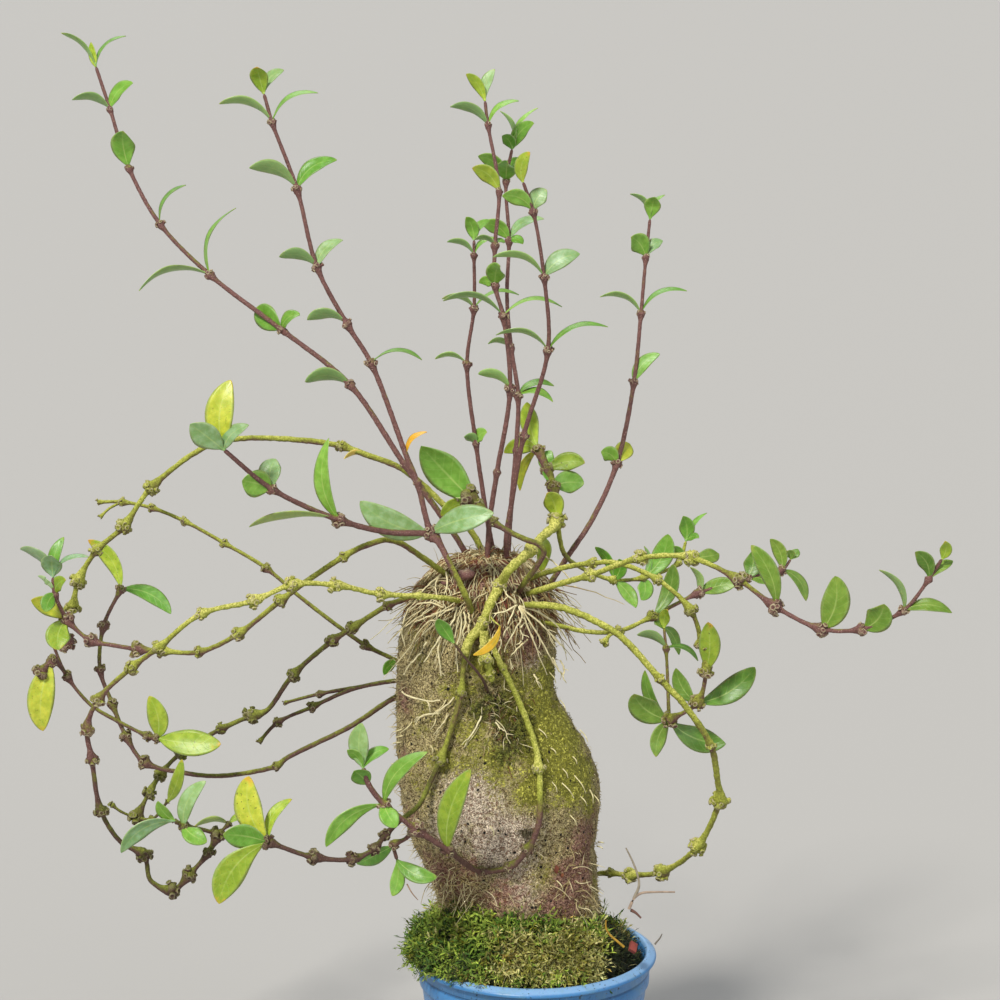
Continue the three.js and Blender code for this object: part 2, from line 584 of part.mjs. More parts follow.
// A blade with a raised rib: it leaves its joint steeply and bends out to its tip.
function leafBlade(joints, places, [joint, column, row, behind, width, turn]) {
  const base = places[joint];
  const tip = fromView(column, row, base.y + behind);
  const chord = tip.clone().sub(base);
  const length = chord.length();
  chord.normalize();
  const stemward = places[joint].clone().sub(places[Math.max(joint - 1, 0)]);
  if (joint === 0) stemward.copy(places[1]).sub(places[0]);
  stemward.normalize();
  const lean = stemward.addScaledVector(chord, -stemward.dot(chord));
  const tilt = THREE.MathUtils.degToRad(turn);
  const arch = (LEAF_ARCH + LEAF_ARCH_TURNED * Math.sin(tilt)) * length * Math.min(lean.length() * 2, 1);
  const bend = base.clone().lerp(tip, 0.5);
  if (lean.length() > 1e-3) bend.addScaledVector(lean.normalize(), arch * 2);
  const rib = new THREE.QuadraticBezierCurve3(base, bend, tip);
  const [, shape] = LEAF_SHAPES.find(([longest]) => length < longest);
  const rings = shape.map(([at, share]) => {
    const along = rib.getTangent(at);
    const flat = new THREE.Vector3().crossVectors(along, viewAhead).normalize();
    const facing = new THREE.Vector3().crossVectors(flat, along).normalize();
    const across = flat.clone().multiplyScalar(Math.cos(tilt)).addScaledVector(facing, Math.sin(tilt));
    const face = new THREE.Vector3().crossVectors(across, along).normalize();
    const half = Math.max((width / 2) * share, LEAF_TIP_HALF);
    const middle = rib.getPoint(at);
    const height = Math.min(LEAF_RIB, half * LEAF_TIP_RIB);
    return [
      middle.clone().addScaledVector(across, half).addScaledVector(face, -height / 2),
      middle.clone().addScaledVector(across, -half).addScaledVector(face, -height / 2),
      middle.clone().addScaledVector(face, height / 2),
    ];
  });
  return toSolid(loft(rings));
}

function stemSolid(shoots) {
  const parts = shoots.flatMap((shoot) => {
    const [radius, , joints, leaves] = shoot;
    const places = jointPlaces(joints, radius);
    return [shootTube(shoot), ...leaves.map((leaf) => leafBlade(joints, places, leaf))];
  });
  return largestBody(wasm.Manifold.union(parts));
}

// The swollen base with its roots and spines

const HAIR_SIDES = 3;
const ROOTS = 34;
const ROOT_RADIUS = 0.75;
const ROOT_HEIGHTS = [272, 306];
const ROOT_LENGTH = [9, 22];
const ROOT_SUNK = 2;
// A root arches this far out, ends this far out, and may flare this much further.
const ROOT_ARCH = 4.5;
const ROOT_END = 3;
const ROOT_FLARE = 5;
const SPINES = 36;
const SPINE_RADIUS = 0.8;
const SPINE_LENGTH = [3, 5];
const SPINE_HEIGHTS = [148, 268];
const SPINE_SUNK = 1.5;
const STEM_BERTH = 1.2;

const stemTracks = Object.values(STEMS).flat().map(([radius, , joints]) => {
  const curve = new THREE.CatmullRomCurve3(jointPlaces(joints, radius), false, "centripetal");
  const widest = Math.max(radius, ...joints.map((joint) => joint[3]));
  return { radius: widest, points: curve.getSpacedPoints(Math.ceil(curve.getLength() / 2)) };
});

function clearOfStems(places, radius) {
  return stemTracks.every((track) =>
    track.points.every((point) =>
      places.every((place) => place.distanceTo(point) > track.radius + radius + STEM_BERTH),
    ),
  );
}

function taperedTube(places, radius, tipShare) {
  const curve = new THREE.CatmullRomCurve3(places);
  const spans = places.length - 1;
  const rings = places.map((place, index) => {
    const along = curve.getTangent(index / spans);
    const across = new THREE.Vector3(0, 0, 1).cross(along).normalize();
    const reach = radius * THREE.MathUtils.lerp(1, tipShare, index / spans);
    return ringOfPoints(place, along, across, HAIR_SIDES, () => reach);
  });
  return toSolid(loft(rings));
}

// A way out from the base's surface at a height and an angle, along the surface's level normal.
function outward(height, angle) {
  const tangent = baseSurface(height, angle + 0.05).sub(baseSurface(height, angle - 0.05));
  return new THREE.Vector3(tangent.y, -tangent.x, 0).normalize();
}

// Roots spring from the crown, stand out from it and droop over its shoulder.
function crownRoots() {
  const draw = seededDraw(7);
  const roots = [];
  for (let tries = 0; roots.length < ROOTS && tries < ROOTS * 12; tries++) {
    const angle = draw() * Math.PI * 2;
    const height = THREE.MathUtils.lerp(...ROOT_HEIGHTS, draw());
    const length = THREE.MathUtils.lerp(...ROOT_LENGTH, draw());
    const swing = (draw() - 0.5) * 0.5;
    const droop = (share, distance) => baseSurface(height - length * share, angle + swing * share, distance);
    const places = [
      baseSurface(height, angle, -ROOT_SUNK),
      droop(0.3, ROOT_ARCH),
      droop(1, ROOT_END).addScaledVector(outward(height, angle), draw() * ROOT_FLARE),
    ];
    if (clearOfStems(places.slice(1), ROOT_RADIUS)) roots.push(taperedTube(places, ROOT_RADIUS, 0.6));
  }
  return roots;
}

// Spines stand all round the lower body, spread by the golden angle.
function bodySpines() {
  const draw = seededDraw(19);
  const golden = Math.PI * (3 - Math.sqrt(5));
  const spines = [];
  for (let index = 0; index < SPINES; index++) {
    const height = THREE.MathUtils.lerp(...SPINE_HEIGHTS, (index + draw()) / SPINES);
    const angle = index * golden + draw() * 0.4;
    const length = THREE.MathUtils.lerp(...SPINE_LENGTH, draw());
    const foot = baseSurface(height, angle);
    const tip = foot.clone().addScaledVector(outward(height, angle), length);
    tip.z += (draw() - 0.6) * length;
    if (clearOfStems([foot, tip], SPINE_RADIUS)) {
      spines.push(taperedTube([baseSurface(height, angle, -SPINE_SUNK), tip], SPINE_RADIUS, 0.35));
    }
  }
  return spines;
}

function swollenBase() {
  const grown = wasm.Manifold.union([baseSolid(), ...crownRoots(), ...bodySpines()]);
  const holes = Object.values(STEMS).flat().map((shoot) => shootTube(shoot, CLEARANCE));
  return largestBody(grown.subtract(wasm.Manifold.union(holes)));
}

// The pot

const COLLAR_BOTTOM = POT_HEIGHT - COLLAR_DROP;
const BODY_RADIUS = COLLAR_RADIUS - COLLAR_STEP;
const INNER_EDGE = 1.2;
// The inside of the wall from the rim down: radius, height.
const POT_INSIDE = [
  [COLLAR_RADIUS - WALL, POT_HEIGHT - INNER_EDGE], [BODY_RADIUS - WALL, COLLAR_BOTTOM - 2],
  [FOOT_RADIUS - WALL, WALL + INNER_EDGE], [FOOT_RADIUS - WALL - INNER_EDGE, WALL],
];

// A solid of revolution about the pot's axis, from its outline as radius and height.
function turned(outline) {
  const points = outline.map(([radius, height]) => new THREE.Vector2(radius, height));
  return toSolid(new THREE.LatheGeometry(points, POT_SIDES).rotateX(Math.PI / 2));
}

function potSolid() {
  const rimBottom = POT_HEIGHT - RIM_DROP;
  const shell = turned([
    [0, 0], [FOOT_RADIUS - 1.5, 0], [FOOT_RADIUS, 1.5], [BODY_RADIUS, COLLAR_BOTTOM],
    [COLLAR_RADIUS, COLLAR_BOTTOM + COLLAR_STEP], [COLLAR_RADIUS, rimBottom - 0.6],
    [RIM_RADIUS - 0.8, rimBottom], [RIM_RADIUS, rimBottom + 1.2], [RIM_RADIUS - 0.4, POT_HEIGHT - 0.6],
    [RIM_RADIUS - 1.2, POT_HEIGHT],
    [COLLAR_RADIUS - 0.8, POT_HEIGHT], ...POT_INSIDE, [0, WALL],
  ]);
  const drain = new THREE.CylinderGeometry(DRAIN_RADIUS, DRAIN_RADIUS, WALL * 4, 8).rotateX(Math.PI / 2);
  const drains = [];
  for (let hole = 0; hole < DRAIN_HOLES; hole++) {
    const angle = (hole / DRAIN_HOLES) * Math.PI * 2;
    const place = [DRAIN_CIRCLE * Math.cos(angle), DRAIN_CIRCLE * Math.sin(angle), 0];
    drains.push(toSolid(drain.clone().translate(...place)));
  }
  return shell.subtract(wasm.Manifold.union(drains));
}

// The bark and soil that fill the pot, with the hole that the base stands in
function soilSolid() {
  const [, shoulder, heel, floor] = POT_INSIDE.map(([radius, height]) => [radius - CLEARANCE, height]);
  const bottom = WALL + CLEARANCE;
  const outside = [[floor[0], bottom], heel, shoulder, [shoulder[0], SOIL_TOP]];
  const fill = turned([[0, bottom], ...outside, [0, SOIL_TOP]]);
  return largestBody(fill.subtract(baseSolid(CLEARANCE)));
}

// The moss

const MOSS_STEPS = 44;
const MOSS_RINGS = 6;
const MOSS_TUFT = 2.6;
const MOSS_INNER = 20;
const MOSS_REACH = 54;
const MOSS_SPILL = 13;
const MOSS_LOW = 9;
const MOSS_HEAP = 27;
// It heaps up against the front left of the base, spills over the rim there, and lies low at the right.
const MOSS_HEAP_AT = -2.1;

function mossReach(angle) {
  const spill = Math.max(Math.cos(angle - MOSS_HEAP_AT), 0);
  return MOSS_REACH + MOSS_SPILL * spill ** 0.8 + 1.5 * Math.cos(5 * angle);
}

// How high the moss stands above its edge. inward runs from 0 at the edge to 1 in the middle.
function mossRise(angle, inward) {
  const heap = 0.5 + 0.5 * Math.cos(angle - MOSS_HEAP_AT);
  const crest = MOSS_LOW + MOSS_HEAP * heap ** 1.6 + 2 * Math.cos(3 * angle + 1);
  return crest * Math.sin(inward * Math.PI * 0.5) ** 0.8;
}

// Every other point stands up as a tuft.
function mossSolid() {
  const draw = seededDraw(41);
  const under = POT_HEIGHT + CLEARANCE;
  const edge = under + 1;
  const rings = [];
  for (let ring = 0; ring <= MOSS_RINGS + 1; ring++) {
    const inward = Math.max(ring - 1, 0) / MOSS_RINGS;
    const points = [];
    for (let step = 0; step < MOSS_STEPS; step++) {
      const angle = (step / MOSS_STEPS) * Math.PI * 2;
      const tuft = (ring + step) % 2 ? MOSS_TUFT * (0.5 + 0.5 * draw()) : 0;
      const outer = ring ? mossReach(angle) : mossReach(angle) - 3;
      const radius = THREE.MathUtils.lerp(outer, MOSS_INNER, inward) + tuft * 0.4;
      const height = ring ? edge + mossRise(angle, inward) + tuft : under;
      points.push(new THREE.Vector3(radius * Math.cos(angle), radius * Math.sin(angle), height));
    }
    rings.push(points);
  }
  const plugRadius = POT_INSIDE[1][0] - CLEARANCE;
  const plugBottom = SOIL_TOP + CLEARANCE;
  const plug = turned([[0, plugBottom], [plugRadius, plugBottom], [plugRadius, edge], [0, edge]]);
  return largestBody(toSolid(loft(rings)).add(plug).subtract(baseSolid(CLEARANCE)));
}

// The assembly

const FINISHES = {
  pot: { color: "#5b8fc4", roughness: 0.45, metalness: 0 },
  soil: { color: "#2f2419", roughness: 0.95, metalness: 0 },
  moss: { color: "#6f7d34", roughness: 0.9, metalness: 0 },
  base: { color: "#85785a", roughness: 0.9, metalness: 0 },
  brownStem: { color: "#7a5148", roughness: 0.7, metalness: 0 },
  greenStem: { color: "#97a03c", roughness: 0.8, metalness: 0 },
};
const BROWN_STEMS = [
  "stem_long_left", "stem_tall_left", "stem_centre_left", "stem_centre_tall", "stem_centre_back",
  "stem_centre_right", "stem_right_tall", "stem_front_twig",
];

const plant = new THREE.Group();

function place(name, solid, finish) {
  const mesh = new THREE.Mesh(toGeometry(solid), new THREE.MeshStandardMaterial(FINISHES[finish]));
  mesh.name = name;
  plant.add(mesh);
}

place("pot", potSolid(), "pot");
place("soil", soilSolid(), "soil");
place("moss", mossSolid(), "moss");
place("swollen_base", swollenBase(), "base");
for (const [name, shoots] of Object.entries(STEMS)) {
  place(name, stemSolid(shoots), BROWN_STEMS.includes(name) ? "brownStem" : "greenStem");
}

export default plant;
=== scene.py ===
"""The looks of an ant plant in a 12 cm nursery pot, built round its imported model.

Work is in millimetres, with the model's axes: +X to the right, +Y away from the viewer, +Z up. Meshes are
scaled to metres as they are made. The stems repeat the model's own routes, with finer bark, nodes and leaves.
"""
import math

import bmesh
import bpy
import numpy as np
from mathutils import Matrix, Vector, noise


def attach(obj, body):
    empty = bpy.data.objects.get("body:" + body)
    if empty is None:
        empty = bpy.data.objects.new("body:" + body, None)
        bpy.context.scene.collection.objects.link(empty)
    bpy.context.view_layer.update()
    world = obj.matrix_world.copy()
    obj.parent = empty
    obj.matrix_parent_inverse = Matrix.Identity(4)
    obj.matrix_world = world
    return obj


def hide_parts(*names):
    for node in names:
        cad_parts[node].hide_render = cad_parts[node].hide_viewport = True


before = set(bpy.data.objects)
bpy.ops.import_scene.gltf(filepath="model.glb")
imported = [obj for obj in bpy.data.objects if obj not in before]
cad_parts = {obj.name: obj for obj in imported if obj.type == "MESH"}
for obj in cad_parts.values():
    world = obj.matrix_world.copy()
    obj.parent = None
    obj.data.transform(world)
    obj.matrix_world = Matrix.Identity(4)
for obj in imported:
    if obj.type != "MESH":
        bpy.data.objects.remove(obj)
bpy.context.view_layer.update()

MM = 0.001
BODY = "root"

# The front view that the plant was measured on: a grid of half millimetres at the pot's rim.
VIEW_STEP = 0.5
VIEW_PITCH = math.radians(12)
VIEW_DISTANCE = 1600
VIEW_SIZE = 1000
RIM_IN_VIEW = (534, 948)
POT_HEIGHT = 105
VIEW_UP = Vector((0, math.sin(VIEW_PITCH), math.cos(VIEW_PITCH)))
VIEW_AHEAD = Vector((0, math.cos(VIEW_PITCH), -math.sin(VIEW_PITCH)))


def on_view_plane(column, row):
    """The place at a column and row of the view, on the upright plane through the rim's centre."""
    across = (column - RIM_IN_VIEW[0]) * VIEW_STEP
    return Vector((across, 0, POT_HEIGHT)) + VIEW_UP * (RIM_IN_VIEW[1] - row) * VIEW_STEP


EYE = on_view_plane(VIEW_SIZE / 2, VIEW_SIZE / 2) - VIEW_AHEAD * VIEW_DISTANCE


def from_view(column, row, depth):
    """The place seen at a column and a row of the view, at a depth behind the pot's axis."""
    target = on_view_plane(column, row)
    return EYE.lerp(target, (depth - EYE.y) / (target.y - EYE.y))


# The swollen base: its outline from the crown down, as row, left column and right column.
BASE_OUTLINE = [
    [554, 470, 508], [559, 452, 526], [568, 437, 538], [582, 422, 548], [602, 411, 554],
    [626, 404, 557], [652, 400, 555], [680, 398, 552], [702, 398, 556], [722, 398, 568],
    [746, 398, 582], [772, 400, 592], [802, 405, 596], [830, 413, 596], [856, 425, 597],
    [886, 437, 601], [916, 442, 602], [946, 450, 597], [972, 470, 578],
]
BASE_DEPTH_RATIO = 0.88
BASE_SWELLINGS = [[0.03, 2, 0.8, 38], [0.022, 3, 2.1, -27], [0.016, 5, 0.4, 16]]
DEPTH_STEP = 0.25
COARSE_STEP = 4
NEAREST_DEPTH = -70
SKIN_SPARE = 1.6


def outline_rows():
    """Height, middle and half width of the base at each row of its outline, from the bottom up."""
    rows = []
    for row, left, right in reversed(BASE_OUTLINE):
        start, end = from_view(left, row, 0), from_view(right, row, 0)
        rows.append((start.z, (start.x + end.x) / 2, (end.x - start.x) / 2))
    return np.array(rows)


OUTLINE = outline_rows()
BASE_BOTTOM, BASE_TOP = OUTLINE[0, 0], OUTLINE[-1, 0]


def outline_at(height):
    """The middle and half width of the base at a height, on a smooth curve through its outline."""
    heights = OUTLINE[:, 0]
    height = min(max(height, BASE_BOTTOM), BASE_TOP)
    index = int(np.clip(np.searchsorted(heights, height, side="right"), 1, len(heights) - 1))
    low, high = heights[index - 1], heights[index]
    before = heights[index - 2] if index > 1 else 2 * low - high
    after = heights[index + 1] if index + 1 < len(heights) else 2 * high - low
    first = OUTLINE[index - 2, 1:] if index > 1 else OUTLINE[index, 1:]
    last = OUTLINE[index + 1, 1:] if index + 1 < len(heights) else OUTLINE[index - 1, 1:]
    pull, push = (high - low) / 2 / (low - before), (high - low) / 2 / (after - high)
    p = (height - low) / (high - low)
    weights = (
        -pull * p**3 + 2 * pull * p**2 - pull * p,
        (1 + pull) * p**3 + (-1.5 - 2 * pull) * p**2 + (pull - 0.5) * p + 1,
        (-1 - push) * p**3 + (1.5 + push) * p**2 + 0.5 * p,
        push * p**3 - push * p**2,
    )
    rows = (first, OUTLINE[index - 1, 1:], OUTLINE[index, 1:], last)
    return sum(weight * row for weight, row in zip(weights, rows))


def base_surface(height, angle, grow=0.0):
    """A point of the base's surface at a height and an angle round it, moved out by grow."""
    middle, half = outline_at(height)
    swelling = 1 + sum(
        size * math.cos(waves * angle + start + height / climb)
        for size, waves, start, climb in BASE_SWELLINGS
    )
    x = middle + (half * swelling + grow) * math.cos(angle)
    y = (half * BASE_DEPTH_RATIO * swelling + grow) * math.sin(angle)
    return Vector((x, y, height))


def base_out(height, angle):
    """The level way out of the base's surface."""
    tangent = base_surface(height, angle + 0.05) - base_surface(height, angle - 0.05)
    return Vector((tangent.y, -tangent.x, 0)).normalized()


def depth_on_base(column, row, radius):
    """The depth at which something of this radius lies on the front of the base, at a place in the view."""
    depth, step = NEAREST_DEPTH, COARSE_STEP
    while depth < 0:
        place = from_view(column, row, depth)
        middle = outline_at(place.z)[0]
        angle = math.atan2(place.y / BASE_DEPTH_RATIO, place.x - middle)
        surface = base_surface(min(max(place.z, BASE_BOTTOM), BASE_TOP), angle)
        if surface.y - place.y < radius + SKIN_SPARE:
            if step == DEPTH_STEP:
                return depth
            depth -= COARSE_STEP
            step = DEPTH_STEP
        depth += step
    raise ValueError(f"no part of the base lies behind {column}, {row}")


def on_base(column, row, proud=0.0):
    """The place on the front of the base that is seen at a column and row, moved out by proud."""
    return from_view(column, row, depth_on_base(column, row, proud - SKIN_SPARE))


GREEN, OLIVE, BLUE, LIME, YELLOW, ORANGE = range(6)
# The stems. Each is a list of shoots: radius at the start, radius at the tip, joints and leaves. A joint
# is column, row, depth and the radius of its swelling, or 0 for a plain bend. A leaf is its joint, the
# column and row of its tip, how far behind the joint the tip lies, its width, how far its face is turned,
# and its shade.
STEMS = {
    "stem_long_left": [
        [1.8, 1.0, [
            [478, 578, 6, 0], [461, 545, 8, 0], [445, 521, 10, 2.4], [404, 464, 14, 2.2], [350, 385, 20, 2.6],
            [282, 330, 28, 2.6], [210, 275, 36, 2.6], [160, 224, 42, 2.5], [129, 168, 48, 2.2],
            [110, 109, 52, 1.9], [96, 67, 56, 0],
        ], [
            [10, 61, 33, -6, 5, 65, GREEN], [10, 126, 36, 6, 5.5, 65, GREEN], [10, 91, 42, 4, 4, 20, LIME],
            [9, 72, 100, -4, 7, 60, GREEN], [9, 133, 83, -4, 7.5, 30, GREEN], [8, 123, 131, -8, 12, 5, GREEN],
            [7, 186, 185, 6, 8, 70, GREEN], [6, 236, 208, 8, 8, 72, GREEN], [6, 139, 291, -8, 8, 75, GREEN],
            [5, 256, 308, 10, 12, 20, GREEN], [5, 300, 315, -6, 8, 45, GREEN],
            [4, 305, 382, -6, 9, 50, GREEN],
        ]],
    ],
    "stem_tall_left": [
        [1.8, 1.0, [
            [476, 622, -24, 0], [464, 592, -36, 0], [451, 566, -36, 0], [438, 541, -31, 0],
            [431, 533, -28, 4.2], [417, 482, -24, 2.2], [406, 455, -22, 0], [371, 363, -16, 2.9],
            [347, 324, -14, 2.7], [317, 267, -12, 2.6], [297, 189, -8, 2.6], [272, 122, -4, 2.2],
            [264, 94, -2, 0],
        ], [
            [12, 257, 67, -6, 8.5, 15, LIME], [12, 284, 70, 6, 6.5, 35, BLUE],
            [11, 219, 104, 0, 6.5, 60, GREEN], [11, 318, 93, 0, 6.5, 65, GREEN],
            [10, 249, 168, -6, 8.5, 45, GREEN], [10, 337, 160, 4, 8.5, 35, GREEN],
            [9, 279, 257, -4, 7, 45, GREEN], [9, 343, 240, 4, 7, 35, BLUE], [8, 307, 320, 0, 8, 55, GREEN],
            [7, 422, 360, 0, 8, 75, GREEN], [6, 427, 432, 2, 5, 60, ORANGE],
        ]],
        [1.8, 1.2, [
            [431, 533, -28, 0], [388, 532, -36, 0], [339, 520, -46, 3.4], [272, 489, -56, 2.8],
            [224, 450, -64, 0],
        ], [
            [0, 360, 501, -12, 13.5, 10, BLUE], [0, 494, 513, -14, 12.5, 15, BLUE],
            [2, 329, 438, 0, 8, 25, GREEN], [2, 249, 527, -2, 8, 65, LIME], [3, 242, 481, -8, 13, 10, GREEN],
            [3, 276, 459, 8, 11, 20, BLUE], [4, 231, 380, 6, 13, 10, YELLOW], [4, 190, 424, -8, 12, 15, BLUE],
            [4, 249, 425, -4, 7, 30, BLUE], [4, 212, 428, 8, 6, 30, BLUE],
        ]],
    ],
    "stem_old_spike": [
        [1.7, 1.5, [
            [514, 600, -16, 0], [525, 582, -31, 0], [538, 564, -36, 0], [544, 551, -37, 0],
            [538, 544, -37, 0], [527, 540, -35, 0], [508, 531, -30, 0], [494, 522, -26, 2.6],
            [478, 506, -22, 3.4], [468, 496, -20, 5.4],
        ], [
            [8, 421, 446, -6, 17, 10, GREEN], [8, 441, 516, 6, 8, 30, LIME],
        ]],
    ],
    "stem_centre_left": [
        [1.5, 0.9, [
            [499, 580, 10, 0], [488, 524, 8, 0], [476, 444, 6, 1.9], [467, 364, 4, 2.3], [474, 308, 2, 2.2],
            [474, 255, 0, 1.9], [474, 240, 0, 0],
        ], [
            [5, 447, 242, 0, 5, 60, GREEN], [5, 496, 238, 2, 4.5, 60, GREEN], [6, 466, 217, -4, 6, 15, GREEN],
            [6, 490, 220, 4, 5, 40, GREEN], [4, 442, 299, -2, 5, 62, GREEN], [4, 519, 295, 6, 5.5, 70, GREEN],
            [3, 435, 359, 0, 5, 65, GREEN], [2, 464, 437, -3, 6, 40, GREEN], [2, 487, 432, -3, 7, 35, GREEN],
        ]],
    ],
    "stem_centre_tall": [
        [1.6, 0.9, [
            [487, 582, -6, 0], [489, 527, -8, 0], [497, 472, -10, 2.0], [510, 389, -14, 2.8],
            [503, 316, -14, 2.6], [495, 285, -12, 2.3], [495, 245, -8, 2.2], [499, 191, -4, 2.0],
            [488, 125, 2, 1.9], [485, 101, 4, 0],
        ], [
            [9, 466, 74, -4, 5, 15, LIME], [9, 495, 69, 4, 5.5, 20, BLUE], [8, 450, 107, -2, 6, 50, GREEN],
            [8, 519, 101, 2, 5, 55, GREEN], [7, 472, 168, -4, 8, 25, LIME], [6, 474, 240, -2, 5, 65, GREEN],
            [6, 505, 242, 4, 4, 50, GREEN], [5, 500, 266, -14, 9, 0, GREEN], [5, 479, 283, 4, 5, 30, GREEN],
            [4, 443, 301, -2, 6, 65, GREEN], [4, 562, 307, 2, 6, 68, GREEN],
            [3, 478, 374, -2, 6.5, 50, GREEN],
        ]],
    ],
    "stem_centre_back": [
        [1.6, 0.9, [
            [507, 580, 14, 0], [510, 520, 14, 0], [516, 450, 16, 1.8], [518, 395, 17, 2.5],
            [511, 347, 18, 2.0], [507, 297, 19, 0], [509, 240, 20, 2.2], [506, 181, 21, 2.0],
            [512, 149, 21, 0],
        ], [
            [3, 554, 386, 4, 6.5, 60, GREEN], [3, 553, 402, -6, 6, 55, GREEN], [4, 488, 344, 2, 5, 60, GREEN],
            [6, 482, 224, -4, 8, 30, GREEN], [6, 544, 219, 2, 6.5, 45, BLUE], [6, 523, 244, -4, 5, 30, GREEN],
            [7, 478, 156, -6, 7, 25, GREEN], [7, 508, 163, -14, 10, 0, GREEN], [7, 524, 160, 8, 8, 30, GREEN],
            [8, 534, 123, -6, 7, 15, GREEN], [8, 502, 136, -4, 6, 25, GREEN], [8, 500, 111, 4, 4, 60, GREEN],
            [8, 538, 108, 6, 4, 60, GREEN],
        ]],
    ],
    "stem_centre_right": [
        [1.6, 0.9, [
            [511, 582, -4, 0], [506, 545, -6, 0], [512, 500, -8, 0], [524, 435, -12, 2.6],
            [548, 350, -18, 2.6], [544, 277, -22, 2.5], [533, 211, -24, 2.2], [523, 182, -26, 0],
        ], [
            [7, 530, 152, -4, 6.5, 20, LIME], [6, 502, 196, -6, 8, 25, GREEN],
            [6, 547, 190, 2, 8.5, 15, BLUE], [5, 493, 257, -4, 6, 62, GREEN], [5, 580, 254, 2, 9, 20, BLUE],
            [4, 496, 335, -2, 6, 68, GREEN], [4, 608, 327, 2, 6, 65, GREEN],
        ]],
    ],
    "stem_right_tall": [
        [1.7, 0.9, [
            [546, 590, 8, 0], [566, 559, 10, 0], [593, 518, 14, 0], [617, 463, 20, 2.6], [634, 382, 26, 2.4],
            [641, 313, 30, 2.3], [646, 257, 34, 2.1], [650, 219, 36, 0],
        ], [
            [3, 601, 452, -4, 8, 20, GREEN], [3, 630, 444, 8, 9, 5, YELLOW], [4, 660, 354, 2, 6.5, 20, GREEN],
            [5, 600, 297, -2, 5.5, 65, GREEN], [5, 687, 291, 2, 5.5, 65, GREEN],
            [6, 631, 237, -6, 10, 5, GREEN], [6, 663, 241, 4, 6.5, 30, BLUE], [7, 655, 197, -6, 8, 5, GREEN],
            [7, 630, 194, 2, 5, 65, GREEN], [7, 665, 195, 4, 5, 65, GREEN],
        ]],
    ],
    "stem_right_reach": [
        [1.8, 0.92, [
            [522, 597, -14, 0], [536, 591, -30, 0], [566, 582, -42, 0], [591, 575, -50, 3.4],
            [641, 558, -62, 3.6], [692, 558, -72, 3.8], [739, 580, -78, 4.0], [776, 607, -84, 4.0],
            [822, 629, -88, 3.6], [862, 629, -90, 3.0], [904, 610, -92, 2.6], [929, 579, -92, 1.9],
            [942, 559, -92, 0],
        ], [
            [5, 719, 554, 6, 7, 20, OLIVE], [7, 751, 545, -2, 8.5, 15, OLIVE],
            [8, 835, 576, -4, 12.5, 5, OLIVE], [9, 884, 604, -8, 12, 10, OLIVE],
            [10, 879, 570, 2, 4, 50, OLIVE], [10, 952, 613, -2, 6.5, 35, OLIVE],
            [11, 915, 552, -4, 7, 20, OLIVE], [11, 953, 561, 4, 5, 35, OLIVE],
            [12, 945, 541, -4, 5, 10, LIME],
        ]],
    ],
    "stem_right_arch": [
        [1.6, 1.1, [
            [522, 584, -6, 0], [534, 577, -18, 0], [566, 567, -24, 0], [593, 563, -28, 2.6],
            [617, 563, -32, 0], [658, 580, -36, 2.6], [691, 611, -38, 3.6], [702, 645, -38, 3.2],
            [706, 671, -36, 3.8], [697, 703, -32, 3.8], [669, 720, -26, 4.0],
        ], [
            [8, 708, 622, -8, 10, 10, LIME], [9, 755, 667, 4, 11.5, 15, OLIVE],
            [9, 676, 668, 6, 7.5, 15, OLIVE], [10, 634, 694, -6, 13, 15, OLIVE],
            [10, 726, 744, 2, 12, 15, OLIVE], [10, 656, 757, -4, 8, 20, OLIVE],
            [10, 645, 670, 10, 5.5, 20, OLIVE],
        ]],
        [1.1, 0.8, [
            [669, 720, -26, 0], [668, 690, -20, 0], [666, 648, -16, 1.9], [664, 628, -14, 0],
        ], [
            [2, 637, 635, -2, 5.5, 40, OLIVE], [2, 698, 661, 2, 5, 60, OLIVE],
            [3, 668, 610, -4, 5.5, 20, LIME], [3, 679, 655, 6, 6, 35, OLIVE],
        ]],
    ],
    "stem_right_loop": [
        [2, 1.5, [
            [519, 606, -20, 0], [534, 605, -34, 0], [559, 607, -42, 0], [591, 619, -48, 0],
            [620, 636, -52, 0], [660, 679, -54, 2.6], [686, 707, -53, 0], [711, 746, -48, 2.6],
            [717, 777, -42, 0], [719, 801, -36, 4.4], [697, 847, -24, 4.4], [661, 872, -8, 4.2],
            [630, 875, 2, 3.8], [609, 873, 8, 2.6], [596, 874, 9, 0],
        ], []],
    ],
    "stem_right_back": [
        [1.5, 0.8, [
            [530, 619, -14, 0], [559, 626, -24, 0], [591, 632, -24, 0], [619, 631, -20, 2.6],
            [653, 616, -10, 3.0], [699, 593, 0, 3.2], [747, 578, 8, 2.6], [782, 570, 12, 2.6],
            [791, 559, 14, 0],
        ], [
            [4, 673, 564, 4, 8, 15, OLIVE], [4, 663, 629, -2, 6.5, 25, OLIVE], [5, 690, 567, 4, 5, 50, OLIVE],
            [5, 737, 584, 2, 8, 15, OLIVE], [6, 752, 551, 4, 9, 10, OLIVE], [6, 770, 585, -2, 6, 35, OLIVE],
            [7, 770, 539, 2, 6.5, 15, OLIVE], [7, 806, 601, 2, 6, 30, OLIVE],
            [8, 787, 551, -3, 4.5, 15, OLIVE], [8, 798, 549, 3, 4.5, 20, OLIVE],
        ]],
        [0.86, 0.86, [
            [619, 631, -20, 0], [609, 636, -26, 0], [604, 643, -28, 2.4],
        ], []],
    ],
    "stem_front_thick": [
        [2.7, 2.3, [
            [464, 655, "skin", 0], [470, 640, "skin", 0], [484, 621, "skin", 3.2], [489, 606, "skin", 0],
            [500, 585, "skin", 3.5], [510, 569, -37, 0], [531, 550, -25, 3.4], [541, 538, -14, 0],
